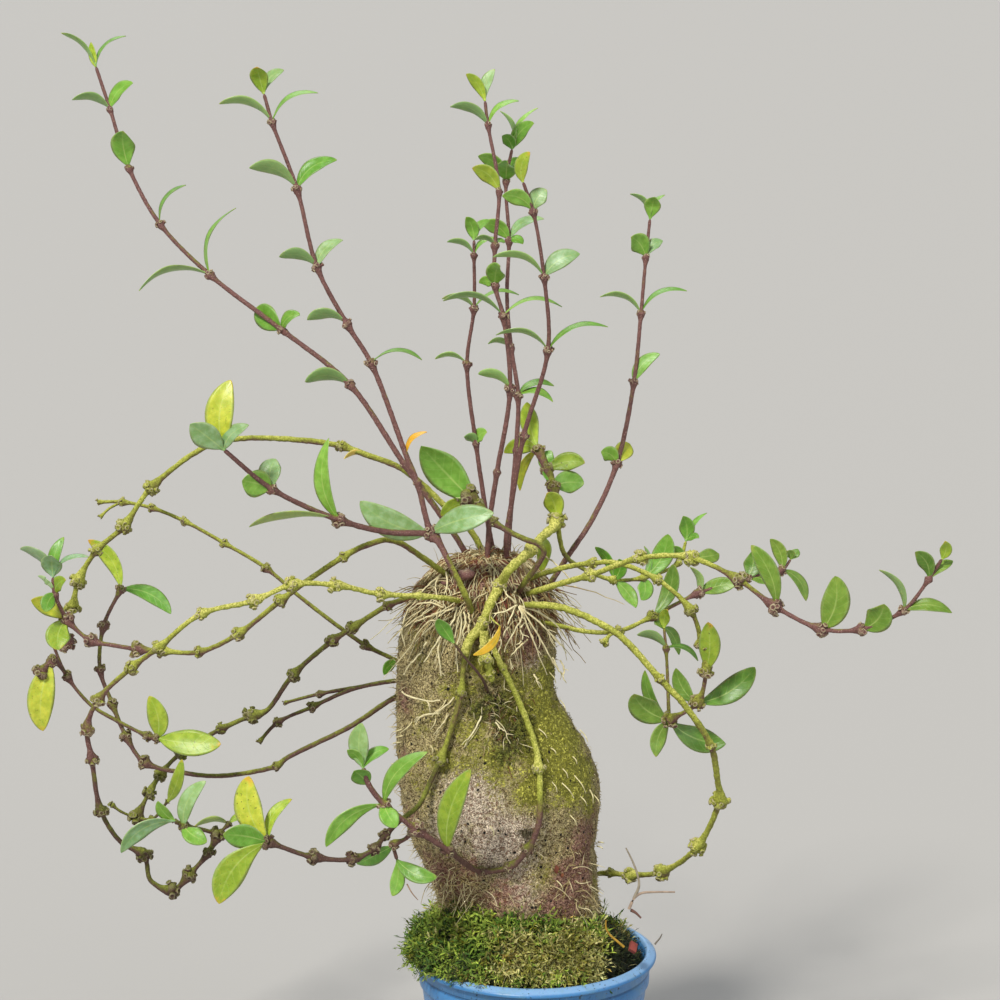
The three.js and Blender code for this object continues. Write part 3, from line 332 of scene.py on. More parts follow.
            [557, 521, -2, 4.5], [553, 487, 14, 3.4], [547, 470, 20, 3.4], [538, 449, 24, 3.2],
        ], [
            [11, 527, 402, 6, 9, 10, LIME], [11, 504, 453, 8, 8, 15, LIME], [11, 520, 491, 4, 5, 30, YELLOW],
            [10, 585, 463, -4, 9, 10, LIME], [10, 552, 451, 6, 8, 20, GREEN],
            [10, 549, 481, -6, 5, 30, GREEN], [9, 584, 484, 4, 11, 10, GREEN],
            [8, 547, 493, -8, 9.5, 10, LIME], [7, 541, 573, 14, 7, 15, LIME],
        ]],
        [0.6, 0.4, [
            [489, 614, "skin", 0], [494, 621, -42, 0], [500, 626, -43, 0],
        ], [
            [2, 473, 655, -2, 4, 25, ORANGE],
        ]],
        [1.5, 0.9, [
            [557, 521, -2, 0], [563, 551, 0, 0], [580, 567, 14, 0], [614, 580, 22, 2.3], [643, 578, 26, 2.2],
            [660, 573, 28, 0], [679, 562, 30, 2.2], [686, 541, 32, 0],
        ], [
            [3, 595, 547, 2, 5, 30, GREEN], [3, 619, 559, -4, 7, 15, GREEN], [3, 636, 608, -6, 7, 15, GREEN],
            [4, 641, 600, -6, 8, 15, GREEN], [4, 668, 534, 4, 10.5, 10, GREEN],
            [4, 644, 546, 6, 3.5, 40, GREEN], [6, 674, 546, -4, 5, 30, GREEN],
            [7, 683, 516, -2, 7.5, 5, GREEN], [7, 707, 513, 4, 3.5, 50, GREEN],
            [7, 699, 538, -4, 4.5, 40, GREEN],
        ]],
    ],
    "stem_front_left": [
        [1.5, 1.3, [
            [465, 652, "skin", 0], [463, 672, "skin", 0], [461, 693, "skin", 2.6], [446, 745, "skin", 0],
            [440, 760, "skin", 3.4], [428, 787, "skin", 0], [419, 805, -34, 0], [401, 820, -41, 0],
            [385, 835, -48, 2.8], [374, 849, -54, 3.2], [352, 859, -57, 3.4], [313, 857, -59, 3.8],
            [268, 842, -60, 3.4],
        ], [
            [12, 249, 776, 4, 13, 10, YELLOW], [12, 223, 835, -6, 12, 15, GREEN],
            [12, 219, 904, -6, 14, 10, LIME], [12, 292, 799, 8, 6, 35, LIME],
        ]],
    ],
    "stem_front_curl": [
        [1.7, 1.6, [
            [486, 632, -26, 0], [490, 642, "skin", 0], [503, 668, "skin", 2.0], [518, 699, "skin", 0],
            [535, 745, "skin", 0], [539, 769, "skin", 3.4], [540, 796, "skin", 0], [538, 826, "skin", 0],
            [527, 850, "skin", 3.0], [509, 867, "skin", 3.2], [481, 871, "skin", 2.4], [448, 850, -48, 3.4],
            [416, 829, -54, 4.0], [384, 804, -60, 3.2], [369, 785, -63, 0], [363, 768, -65, 0],
        ], [
            [15, 362, 723, -2, 9.5, 10, BLUE], [15, 347, 750, -4, 6, 35, GREEN],
            [15, 389, 749, 2, 6, 35, GREEN], [14, 354, 771, -8, 9, 15, GREEN],
            [13, 428, 752, -6, 8, 25, GREEN], [13, 326, 847, -6, 9, 30, GREEN],
            [13, 397, 827, -8, 9, 20, GREEN], [11, 471, 769, -8, 11, 10, LIME],
        ]],
        [1.3, 1.0, [
            [416, 829, -54, 0], [405, 839, -52, 0], [394, 845, -50, 2.6], [397, 860, -49, 0],
        ], [
            [2, 357, 864, 14, 9, 25, GREEN], [3, 437, 877, -8, 8, 20, GREEN], [3, 392, 896, -4, 7, 15, GREEN],
        ]],
    ],
    "stem_front_twig": [
        [0.9, 0.75, [
            [488, 692, -28, 0], [481, 677, -41, 0], [463, 655, -46, 0], [454, 643, -46, 0],
        ], [
            [3, 438, 619, -4, 7, 20, GREEN],
        ]],
    ],
    "stem_left_arch": [
        [1.9, 1.4, [
            [489, 566, 14, 0], [471, 531, 20, 0], [445, 506, 24, 0], [404, 470, 28, 0], [367, 455, 30, 0],
            [341, 446, 31, 3.0], [287, 439, 31, 0], [237, 439, 30, 0], [207, 446, 28, 0], [151, 488, 23, 4.0],
            [123, 527, 19, 4.2], [96, 551, 16, 3.2], [78, 582, 15, 4.2], [73, 608, 15, 3.8],
        ], [
            [4, 344, 459, -2, 4, 55, ORANGE],
        ]],
    ],
    "stem_left_thin": [
        [1.3, 0.98, [
            [414, 668, 4, 0], [398, 661, 6, 0], [365, 645, 10, 2.8], [342, 629, 13, 0], [299, 596, 18, 0],
            [266, 568, 22, 2.6], [224, 543, 28, 2.4], [184, 521, 32, 2.4], [152, 508, 35, 2.4],
            [122, 502, 37, 2.4], [98, 502, 38, 1.8],
        ], [
            [1, 384, 675, -6, 5, 20, GREEN],
        ]],
        [0.82, 0.8, [
            [122, 502, 37, 0], [110, 508, 36, 0], [100, 517, 35, 1.4],
        ], []],
    ],
    "stem_left_low": [
        [1.5, 1.3, [
            [466, 602, -22, 0], [442, 598, -36, 0], [419, 596, -40, 2.3], [380, 594, -44, 3.4],
            [335, 585, -48, 3.6], [291, 585, -51, 3.8], [253, 601, -52, 3.8], [201, 614, -52, 3.0],
            [158, 648, -50, 3.4], [131, 668, -48, 3.4], [98, 700, -45, 3.4], [87, 729, -42, 3.6],
            [92, 760, -40, 3.2], [101, 811, -36, 3.4], [122, 843, -32, 0], [144, 855, -30, 4.0],
            [151, 881, -30, 0], [173, 890, -30, 4.2], [190, 874, -30, 4.0], [209, 852, -30, 3.2],
            [218, 834, -30, 4.0],
        ], []],
        [1.3, 0.92, [
            [218, 834, -30, 0], [200, 829, -33, 0], [184, 826, -35, 2.8], [175, 821, -36, 1.6],
        ], [
            [2, 206, 781, -4, 8, 20, BLUE], [3, 158, 801, -4, 6, 20, GREEN], [3, 121, 853, -6, 9, 35, BLUE],
            [2, 207, 842, -8, 9, 30, GREEN],
        ]],
        [1, 0.8, [
            [218, 834, -30, 0], [229, 824, -28, 1.8],
        ], [
            [1, 194, 827, 6, 5, 50, LIME], [1, 248, 815, 4, 5, 50, LIME],
        ]],
    ],
    "stem_left_mid": [
        [1.8, 1.1, [
            [456, 584, -6, 0], [440, 570, -14, 0], [419, 555, -18, 0], [400, 543, -20, 0], [386, 540, -22, 0],
            [362, 547, -24, 0], [343, 557, -25, 2.6], [307, 581, -26, 0], [280, 601, -25, 3.2],
            [238, 634, -20, 3.6], [199, 652, -14, 2.8], [163, 651, -8, 3.2], [137, 649, -4, 4.0],
            [112, 645, -2, 0], [90, 640, 0, 3.6], [67, 619, 2, 3.4], [55, 594, 0, 2.0], [53, 577, -1, 0],
        ], [
            [17, 20, 549, 4, 8, 50, BLUE], [17, 64, 537, 4, 6, 15, GREEN], [17, 52, 556, -10, 10, 0, BLUE],
            [17, 89, 557, -4, 5, 65, BLUE], [16, 38, 576, 2, 4, 50, BLUE], [16, 66, 580, -6, 7, 20, LIME],
            [15, 31, 600, -4, 9, 10, YELLOW], [15, 59, 650, -10, 12, 10, LIME],
            [16, 46, 612, -8, 7, 15, GREEN],
        ]],
        [1.1, 1.1, [
            [67, 619, 2, 0], [66, 632, 8, 0], [67, 643, 11, 4.2],
        ], []],
    ],
    "stem_left_inner": [
        [1.6, 1.2, [
            [426, 603, -6, 0], [408, 599, -8, 0], [387, 606, -8, 2.6], [352, 628, -7, 3.4],
            [332, 641, -5, 3.2], [293, 675, -1, 3.6], [266, 711, 3, 0], [251, 716, 4, 4.4],
            [221, 729, 6, 2.8], [181, 753, 10, 3.4], [160, 775, 14, 3.6], [149, 793, 12, 3.4],
            [136, 818, 10, 4.4],
        ], []],
        [0.96, 0.8, [
            [136, 818, 10, 0], [152, 819, 4, 2.0], [168, 801, -6, 1.4],
        ], [
            [2, 182, 759, -4, 6, 10, LIME],
        ]],
        [0.8, 0.8, [
            [136, 818, 10, 0], [120, 811, 8, 0], [111, 804, 8, 1.8],
        ], []],
    ],
    "stem_left_pair": [
        [1.4, 0.99, [
            [413, 680, 8, 0], [394, 681, 10, 0], [353, 689, 12, 0], [312, 707, 12, 2.8], [277, 723, 11, 2.6],
            [259, 742, 10, 1.8],
        ], []],
        [1.2, 0.91, [
            [370, 685, 11, 0], [319, 694, 16, 2.2], [284, 703, 18, 1.4],
        ], []],
    ],
    "stem_left_under": [
        [1.6, 1.1, [
            [414, 690, 18, 0], [394, 698, 18, 0], [351, 726, 15, 0], [287, 758, 10, 0], [276, 766, 9, 2.6],
            [240, 774, 7, 0], [213, 776, 5, 0], [185, 773, 3, 0], [144, 762, 4, 3.4], [126, 736, 8, 3.2],
            [112, 703, 12, 3.0], [100, 669, 16, 2.8], [104, 625, 24, 3.0], [121, 589, 32, 2.8],
        ], [
            [13, 88, 540, 6, 8, 15, LIME], [13, 171, 614, -4, 8, 20, GREEN],
        ]],
        [1.2, 0.86, [
            [119, 722, 9, 0], [91, 705, 12, 0], [67, 676, 14, 2.8], [50, 637, 14, 0],
        ], []],
        [0.86, 0.8, [
            [67, 676, 14, 0], [52, 661, 8, 3.4], [40, 673, 6, 3.9],
        ], [
            [1, 43, 731, -4, 13, 5, YELLOW],
        ]],
        [1.2, 0.94, [
            [119, 722, 9, 0], [148, 736, 2, 2.8], [157, 738, 0, 2.6],
        ], [
            [2, 149, 696, -4, 10, 10, LIME], [2, 221, 744, -8, 13, 15, LIME],
        ]],
    ],
}

# How green with algae each stem is at its start and at its tip, and the shares of its length between which
# that changes. Its branches are as its tip.
ALGAE = {
    "stem_long_left": (0.3, -0.1, 0, 0.3), "stem_tall_left": (1.0, -0.1, 0.08, 0.17),
    "stem_old_spike": (0.6, 0.35, 0, 1), "stem_centre_left": (0.0, -0.1, 0, 1),
    "stem_centre_tall": (0.0, -0.1, 0, 1), "stem_centre_back": (0.0, -0.1, 0, 1),
    "stem_centre_right": (0.1, -0.1, 0, 0.3), "stem_right_tall": (0.2, -0.1, 0, 0.4),
    "stem_right_reach": (1.1, -0.1, 0.44, 0.62), "stem_right_arch": (0.95, 0.4, 0.5, 0.8),
    "stem_right_loop": (1.0, 0.85, 0, 1), "stem_right_back": (0.9, 0.0, 0.4, 0.6),
    "stem_front_thick": (1.3, 0.3, 0.62, 0.78), "stem_front_left": (0.65, 0.0, 0.5, 0.6),
    "stem_front_curl": (1.2, 0.05, 0.34, 0.46), "stem_front_twig": (0.1, 0.1, 0, 1),
    "stem_left_arch": (0.75, 0.85, 0, 1), "stem_left_thin": (0.35, 0.7, 0, 1),
    "stem_left_low": (1.25, 0.3, 0.35, 0.62), "stem_left_mid": (0.65, 0.0, 0.68, 0.8),
    "stem_left_inner": (0.5, 0.6, 0, 1), "stem_left_pair": (0.2, 0.35, 0, 1),
    "stem_left_under": (0.35, 0.15, 0, 1),
}
GREEN_FROM = 0.5

CROWN_IN_VIEW = (500, 600)
DEPTH_FAN = 0.0011


def joint_places(joints, radius):
    """Where a shoot's joints are. The stems fan out in depth as they leave the crown."""
    places = []
    for column, row, depth, _ in joints:
        if depth == "skin":
            depth = depth_on_base(column, row, radius)
            depth -= max(skin_offset(from_view(column, row, depth)), 0)
        else:
            depth *= 1 + DEPTH_FAN * math.dist((column, row), CROWN_IN_VIEW)
        places.append(from_view(column, row, depth))
    return places


def curve_point(places, at):
    """The point of a centripetal Catmull-Rom curve at a number of spans along it."""
    last = len(places) - 1
    span = min(int(at), last - 1)
    p = at - span
    b, c = places[span], places[span + 1]
    a = places[span - 1] if span else 2 * b - c
    d = places[span + 2] if span + 2 <= last else 2 * c - b
    before, here, after = (math.sqrt((v - u).length) for u, v in ((a, b), (b, c), (c, d)))
    leave = ((b - a) / before - (c - a) / (before + here) + (c - b) / here) * here
    arrive = ((c - b) / here - (d - b) / (here + after) + (d - c) / after) * here
    cubic = 2 * b - 2 * c + leave + arrive
    square = -3 * b + 3 * c - 2 * leave - arrive
    return b + leave * p + square * p**2 + cubic * p**3


# Meshes


class Gather:
    """The points and faces of one mesh, gathered from many small forms, in millimetres."""

    def __init__(self):
        self.points = []
        self.faces = []
        self.values = {}
        self.count = 0

    def add(self, points, faces, **values):
        """Adds points, arrays of faces of one size each, and a value or colour for each point."""
        points = np.asarray(points, float).reshape(-1, 3)
        self.points.append(points)
        self.faces += [np.asarray(part, int) + self.count for part in faces if len(part)]
        for name, value in values.items():
            value = np.asarray(value, float)
            shape = (len(points), 3) if name == "tint" else (len(points),)
            self.values.setdefault(name, []).append(np.broadcast_to(value, shape))
        self.count += len(points)

    def add_tubes(self, lines, radii, tints, sides=3):
        """Adds a tube along each line, with a radius and a tint for each of its points."""
        points, faces = tubes(np.array(lines, float), np.array(radii), sides)
        self.add(points, [faces], tint=np.repeat(np.array(tints).reshape(-1, 3), sides, axis=0))

    def build(self, name, material, slot, *nodes):
        """Makes the mesh as a piece that rides on the plant and stands for the named nodes of the model."""
        mesh = bpy.data.meshes.new(name)
        loops = np.concatenate([part.ravel() for part in self.faces])
        sizes = np.concatenate([np.full(len(part), part.shape[1]) for part in self.faces])
        mesh.vertices.add(self.count)
        mesh.vertices.foreach_set("co", (np.concatenate(self.points) * MM).ravel())
        mesh.loops.add(len(loops))
        mesh.loops.foreach_set("vertex_index", loops)
        mesh.polygons.add(len(sizes))
        mesh.polygons.foreach_set("loop_start", np.concatenate([[0], np.cumsum(sizes)[:-1]]))
        mesh.update(calc_edges=True)
        for key, parts in self.values.items():
            value = np.concatenate(parts)
            if key == "tint":
                colour = np.ones((len(value), 4))
                colour[:, :3] = value
                mesh.attributes.new(key, "FLOAT_COLOR", "POINT").data.foreach_set("color", colour.ravel())
            else:
                mesh.attributes.new(key, "FLOAT", "POINT").data.foreach_set("value", value)
        mesh.shade_smooth()
        mesh.materials.append(material)
        piece = bpy.data.objects.new(name, mesh)
        bpy.context.scene.collection.objects.link(piece)
        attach(piece, BODY)
        if nodes:
            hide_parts(*nodes)
        return piece


def ring_faces(rings, sides, lines=1):
    """The four-sided faces between rings of points, for several lines of rings one after another."""
    line, ring, side = np.meshgrid(np.arange(lines), np.arange(rings - 1), np.arange(sides), indexing="ij")
    start = (line * rings + ring) * sides
    following = (side + 1) % sides
    faces = np.stack([start + side, start + following, start + sides + following, start + sides + side], -1)
    return faces.reshape(-1, 4)


def unit(vectors):
    """Vectors made one long."""
    return vectors / np.maximum(np.linalg.norm(vectors, axis=-1, keepdims=True), 1e-9)


def tubes(lines, radii, sides=3):
    """Thin tubes along many lines at once: lines is tubes x points x 3, and radii is tubes x points."""
    along = unit(np.gradient(lines, axis=1))
    helper = np.where(np.abs(along[..., 2:]) < 0.9, [0.0, 0.0, 1.0], [1.0, 0.0, 0.0])
    across = unit(np.cross(along, helper))
    side = np.cross(along, across)
    angle = np.arange(sides) / sides * 2 * math.pi
    ring = across[:, :, None] * np.cos(angle)[:, None] + side[:, :, None] * np.sin(angle)[:, None]
    points = lines[:, :, None] + ring * radii[:, :, None, None]
    return points.reshape(-1, 3), ring_faces(lines.shape[1], sides, lines.shape[0])


def copies(points, faces, frames, places, scales):
    """Copies of a small form. frames is copies x 3 x 3, the form's own axes as rows."""
    moved = (points[None] * scales[:, None, None]) @ frames + places[:, None]
    offsets = np.arange(len(places))[:, None, None] * len(points)
    parts = [(np.asarray(part)[None] + offsets).reshape(-1, np.asarray(part).shape[1]) for part in faces]
    return moved.reshape(-1, 3), parts


def frames_about(up, turn):
    """Axes with their third along each up, turned about it."""
    up = unit(up)
    helper = np.where(np.abs(up[:, 2:]) < 0.9, [0.0, 0.0, 1.0], [1.0, 0.0, 0.0])
    first = unit(np.cross(helper, up))
    second = np.cross(up, first)
    cos, sin = np.cos(turn)[:, None], np.sin(turn)[:, None]
    return np.stack([first * cos + second * sin, second * cos - first * sin, up], axis=1)


def rough(point, size, seed=0.0):
    """Smooth noise from -1 to 1 whose bumps are about this many millimetres across."""
    return noise.noise(Vector(point) / size + Vector((seed, seed * 2, -seed)))


def colour(code):
    """The linear colour of a hex code."""
    channels = np.array([int(code[at:at + 2], 16) / 255 for at in (1, 3, 5)])
    return np.where(channels <= 0.04045, channels / 12.92, ((channels + 0.055) / 1.055) ** 2.4)


# Materials


class Wire:
    """What a node of a material gives. Plain sums on it make the nodes for them."""

    def __init__(self, paint, socket):
        self.paint = paint
        self.socket = socket

    def __add__(self, other):
        return self.paint.math("ADD", self, other)

    def __sub__(self, other):
        return self.paint.math("SUBTRACT", self, other)

    def __rsub__(self, other):
        return self.paint.math("SUBTRACT", other, self)

    def __mul__(self, other):
        return self.paint.math("MULTIPLY", self, other)

    def __abs__(self):
        return self.paint.math("ABSOLUTE", self)


class Paint:
    """A material on one Principled shader, with short names for the nodes that feed it."""

    def __init__(self, name, roughness, **settings):
        self.material = bpy.data.materials.new(name)
        self.material.use_nodes = True
        self.tree = self.material.node_tree
        self.shader = self.tree.nodes["Principled BSDF"]
        self.shader.inputs["Roughness"].default_value = roughness
        for key, value in settings.items():
            self.shader.inputs[key.replace("_", " ")].default_value = value
        self.place = self.add("ShaderNodeTexCoord").outputs["Object"]

    def add(self, kind, **inputs):
        """A new node of this kind, with its inputs fed."""
        node = self.tree.nodes.new(kind)
        for key, value in inputs.items():
            self.feed(node.inputs[key.replace("_", " ")], value)
        return node

    def feed(self, socket, value):
        """Joins a socket to another node, or sets the value or colour on it."""
        if isinstance(value, Wire):
            self.tree.links.new(value.socket, socket)
        elif isinstance(value, bpy.types.NodeSocket):
            self.tree.links.new(value, socket)
        elif isinstance(value, np.ndarray):
            socket.default_value = (*value, 1.0)
        else:
            socket.default_value = value

    def noise(self, size, detail=3.0, distortion=0.0):
        """Noise from 0 to 1 whose bumps are about this many millimetres across."""
        node = self.add("ShaderNodeTexNoise", Vector=self.place, Scale=1 / (size * MM), Detail=detail,
                        Distortion=distortion)
        return Wire(self, node.outputs["Fac"])

    def cells(self, size, randomness=1.0):
        """How far it is to the nearest of many spots that lie about this many millimetres apart."""
        scale = 1 / (size * MM)
        node = self.add("ShaderNodeTexVoronoi", Vector=self.place, Scale=scale, Randomness=randomness)
        return Wire(self, node.outputs["Distance"])

    def value(self, name):
        """A value that the mesh's points hold, or their tint."""
        node = self.tree.nodes.new("ShaderNodeAttribute")
        node.attribute_name = name
        return Wire(self, node.outputs["Color" if name == "tint" else "Fac"])

    def upward(self):
        """How far a surface faces up, from -1 to 1."""
        normal = self.add("ShaderNodeNewGeometry").outputs["Normal"]
        return Wire(self, self.add("ShaderNodeSeparateXYZ", Vector=normal).outputs["Z"])

    def math(self, operation, a, b=0.0):
        """Works one sum out of two wires or numbers."""
        node = self.tree.nodes.new("ShaderNodeMath")
        node.operation = operation
        self.feed(node.inputs[0], a)
        self.feed(node.inputs[1], b)
        return Wire(self, node.outputs[0])

    def rise(self, value, low, high):
        """0 below low and 1 above high, with a smooth rise between them."""
        node = self.tree.nodes.new("ShaderNodeMapRange")
        node.interpolation_type = "SMOOTHSTEP"
        self.feed(node.inputs["Value"], value)
        self.feed(node.inputs["From Min"], low)
        self.feed(node.inputs["From Max"], high)
        return Wire(self, node.outputs["Result"])

    def mix(self, factor, a, b, blend="MIX"):
        """A blend of two colours: the first where the factor is 0 and the second where it is 1."""
        node = self.tree.nodes.new("ShaderNodeMix")
        node.data_type = "RGBA"
        node.blend_type = blend
        self.feed(node.inputs[0], factor)
        self.feed(node.inputs[6], a)
        self.feed(node.inputs[7], b)
        return Wire(self, node.outputs[2])

    def finish(self, base, *bumps, roughness=None):
        """Sets the colour, the bumps as height and millimetres, and the roughness."""
        self.feed(self.shader.inputs["Base Color"], base)
        normal = None
        for height, depth in bumps:
            bump = self.add("ShaderNodeBump", Height=height, Distance=depth * MM)
            if normal:
                self.feed(bump.inputs["Normal"], normal)
            normal = bump.outputs["Normal"]
        if normal:
            self.feed(self.shader.inputs["Normal"], normal)
        if roughness is not None:
            self.feed(self.shader.inputs["Roughness"], roughness)
        return self.material


def leaf_material():
    """Green by leaf, with a pale rib, slanting veins, a pale margin, and orange tips and flecks when old."""
    paint = Paint("leaf", 0.4, Subsurface_Weight=0.1, Subsurface_Scale=0.0015)
    across, along, under = paint.value("across"), paint.value("along"), paint.value("under")
    tint = paint.value("tint")
    blotch = paint.noise(3.5, 4)
    dull = paint.mix(1.0, tint, colour("#d8e3bd"), "MULTIPLY")
    shade = paint.mix(paint.rise(blotch, 0.35, 0.7), dull, tint)
    slant = along * 7.0 - across * 1.4
    wave = abs(paint.math("FRACT", slant) - 0.5)
    veins = paint.rise(wave, 0.4, 0.5) * 0.1
    shade = paint.mix(veins, shade, colour("#c6dc84"))
    rib = 1.0 - paint.rise(across, 0.02, 0.09)
    rib = rib * (0.5 - along * 0.45)
    shade = paint.mix(rib, shade, colour("#cbdc84"))
    shade = paint.mix(under * 0.4, shade, colour("#9db285"))
    margin = paint.rise(across, 0.9, 1.0) * 0.4
    shade = paint.mix(margin, shade, colour("#c9d486"))
    flecks = paint.value("flecks")
    ripe = along + (blotch - 0.5) * 0.4
    shade = paint.mix(paint.rise(ripe, 0.88, 1.08) * flecks, shade, colour("#d99a2b"))
    fleck = paint.rise(paint.noise(0.9, 2), 0.66, 0.72) * flecks
    shade = paint.mix(fleck, shade, colour("#4b4a1e"))
    dust = paint.rise(paint.noise(0.35, 2), 0.7, 0.76) * 0.3
    shade = paint.mix(dust, shade, colour("#e5ead2"))
    gloss = blotch * 0.2
    pores = paint.noise(0.5, 2)
    return paint.finish(shade, (veins, -0.3), (blotch, 0.12), (pores, 0.03), roughness=gloss + 0.28)


def bark_material():
    """Brown bark that turns olive and then lime green where algae grows, with cream crusts; painted light
    greens the upper faces, and painted shade darkens low stems and the scars' hollows.
    """
    paint = Paint("stem_bark", 0.75)
    grain = paint.noise(2.2, 5, 0.6)
    fine = paint.noise(0.45, 4)
    upward = paint.upward()
    brown = paint.mix(grain, colour("#472a28"), colour("#8e6058"))
    brown = paint.mix(paint.rise(fine, 0.58, 0.72), brown, colour("#b8988f"))
    brown = paint.mix(paint.rise(paint.noise(0.8, 2), 0.72, 0.76), brown, colour("#dac6b8"))
    olive = paint.mix(paint.noise(1.4, 4), colour("#5a5420"), colour("#8f883a"))
    mottle = paint.noise(0.9, 5)
    lime = paint.mix(paint.rise(mottle, 0.3, 0.7), colour("#90942e"), colour("#b6bd48"))
    algae = paint.value("algae") + (grain - 0.5)
    # Painted light and shade: faces that look up get more of the algae's lighter green, and undersides stay
    # darker brown.
    algae = algae + upward * 0.5
    shade = paint.mix(paint.rise(algae, 0.15, 0.6), brown, olive)
    thick = algae + (fine - 0.5) * 0.8
    coated = paint.rise(thick, 0.4, 1.0)
    warty = paint.mix(paint.rise(mottle, 0.36, 0.6), colour("#9da03a"), colour("#e2dd76"))
    lime = paint.mix(paint.rise(thick, 1.0, 1.6), lime, warty)
    shade = paint.mix(coated, shade, lime)
    soot = paint.rise(paint.noise(1.3, 6), 0.6, 0.75) * 0.4
    shade = paint.mix(soot, shade, colour("#4d4719"))
    crust = paint.value("crust")
    scab = paint.mix(paint.noise(0.6, 4), colour("#79643e"), colour("#eee3bc"))
    coat = crust + (fine - 0.5) * 1.1
    shade = paint.mix(paint.rise(coat, 0.35, 0.95) * 0.9, shade, scab)
    # Painted shade: the middle of each scar's hollow, where crust is below zero, is darkened.
    hollow = paint.rise(crust, 0.0, -0.5) * 0.8
    shade = paint.mix(hollow, shade, colour("#3a2c18"))
    # Painted shade: the low parts of some stems are multiplied darker.
    shade = paint.mix(paint.value("painted_shade"), shade, paint.mix(1.0, shade, colour("#b8bca8"), "MULTIPLY"))
    bumps = mottle * coated
    scales = paint.cells(0.7)
    return paint.finish(shade, (grain, 0.4), (scales, 0.2), (fine, 0.3), (bumps, 0.3),
                        roughness=fine * 0.3 + 0.55)


def skin_material():
    """The base's corky skin: pale fibres over brown, with stains, algae, moss, and pits filled with painted
    shade.
    """
    paint = Paint("base_skin", 0.85)
    broad, middle, fine = paint.noise(11, 4), paint.noise(3.0, 5, 0.5), paint.noise(0.7, 5)
    swirl = paint.noise(1.5, 4, 1.2)
    fibres = paint.rise(abs(swirl - 0.5), 0.1, 0.03)
    deep = paint.mix(middle, colour("#35280f"), colour("#7f693a"))
    skin = paint.mix(fibres, deep, paint.mix(middle, colour("#b09c62"), colour("#eadba6")))
    warm = paint.value("warm") + (middle - 0.5) * 1.8
    warm = paint.rise(warm, 0.2, 0.9)
    pale = paint.mix(fibres, paint.mix(fine, colour("#5f4130"), colour("#b3937a")), colour("#fbe9d0"))
    skin = paint.mix(warm, skin, pale)
    purple = paint.mix(middle, colour("#331510"), colour("#84503f"))
    purple = paint.mix(fibres * 0.7, purple, colour("#c99f88"))
    stain = paint.value("purple") + (middle - 0.5) * 1.8
    skin = paint.mix(paint.rise(stain, 0.1, 0.75), skin, purple)
    green = paint.mix(fine, colour("#50530c"), colour("#a9a62e"))
    green = paint.mix(paint.rise(swirl, 0.52, 0.62), green, colour("#d6d35c"))
    algae = paint.value("algae") + (middle - 0.5) * 1.6
    algae = algae + (fine - 0.5) * 1.1
    algae = algae + (broad - 0.5) * 1.0
    skin = paint.mix(paint.rise(algae, 0.1, 0.8) * 0.95, skin, green)
    felt = paint.value("moss") + (middle - 0.5) * 2.2
    skin = paint.mix(paint.rise(felt, 0.3, 0.9) * 0.9, skin, colour("#1c1a09"))
    grit = paint.rise(paint.cells(0.9), 0.34, 0.12)
    skin = paint.mix(grit * 0.7, skin, colour("#20150a"))
    # Painted shade: the deep pits are filled with near black.
    painted_pit_shade = paint.rise(paint.cells(5.0, 0.9), 0.17, 0.11) * paint.rise(broad, 0.4, 0.48)
    skin = paint.mix(painted_pit_shade, skin, colour("#0e0905"))
    return paint.finish(skin, (middle, 1.2), (fibres, 0.7), (grit, -0.5), (painted_pit_shade, -1.5), (fine, 0.4))


def tinted_material(name, size, roughness, spread, **settings):
    """Takes each point's own tint, darkened and lightened in patches."""
    paint = Paint(name, roughness, **settings)
    tint = paint.value("tint")
    dark = paint.mix(1.0, tint, np.full(3, 1 - spread), "MULTIPLY")
    patches = paint.noise(size, 4)
    shade = paint.mix(paint.rise(patches, 0.3, 0.7), dark, tint)
    return paint.finish(shade, (paint.noise(size / 3, 3), 0.1))


# Lines of shadow and dirt round the pot: from one height to another, in metres.
POT_LINES = [(0.1001, 0.1009), (0.0950, 0.0958)]
LINE_BLUR = 0.0006


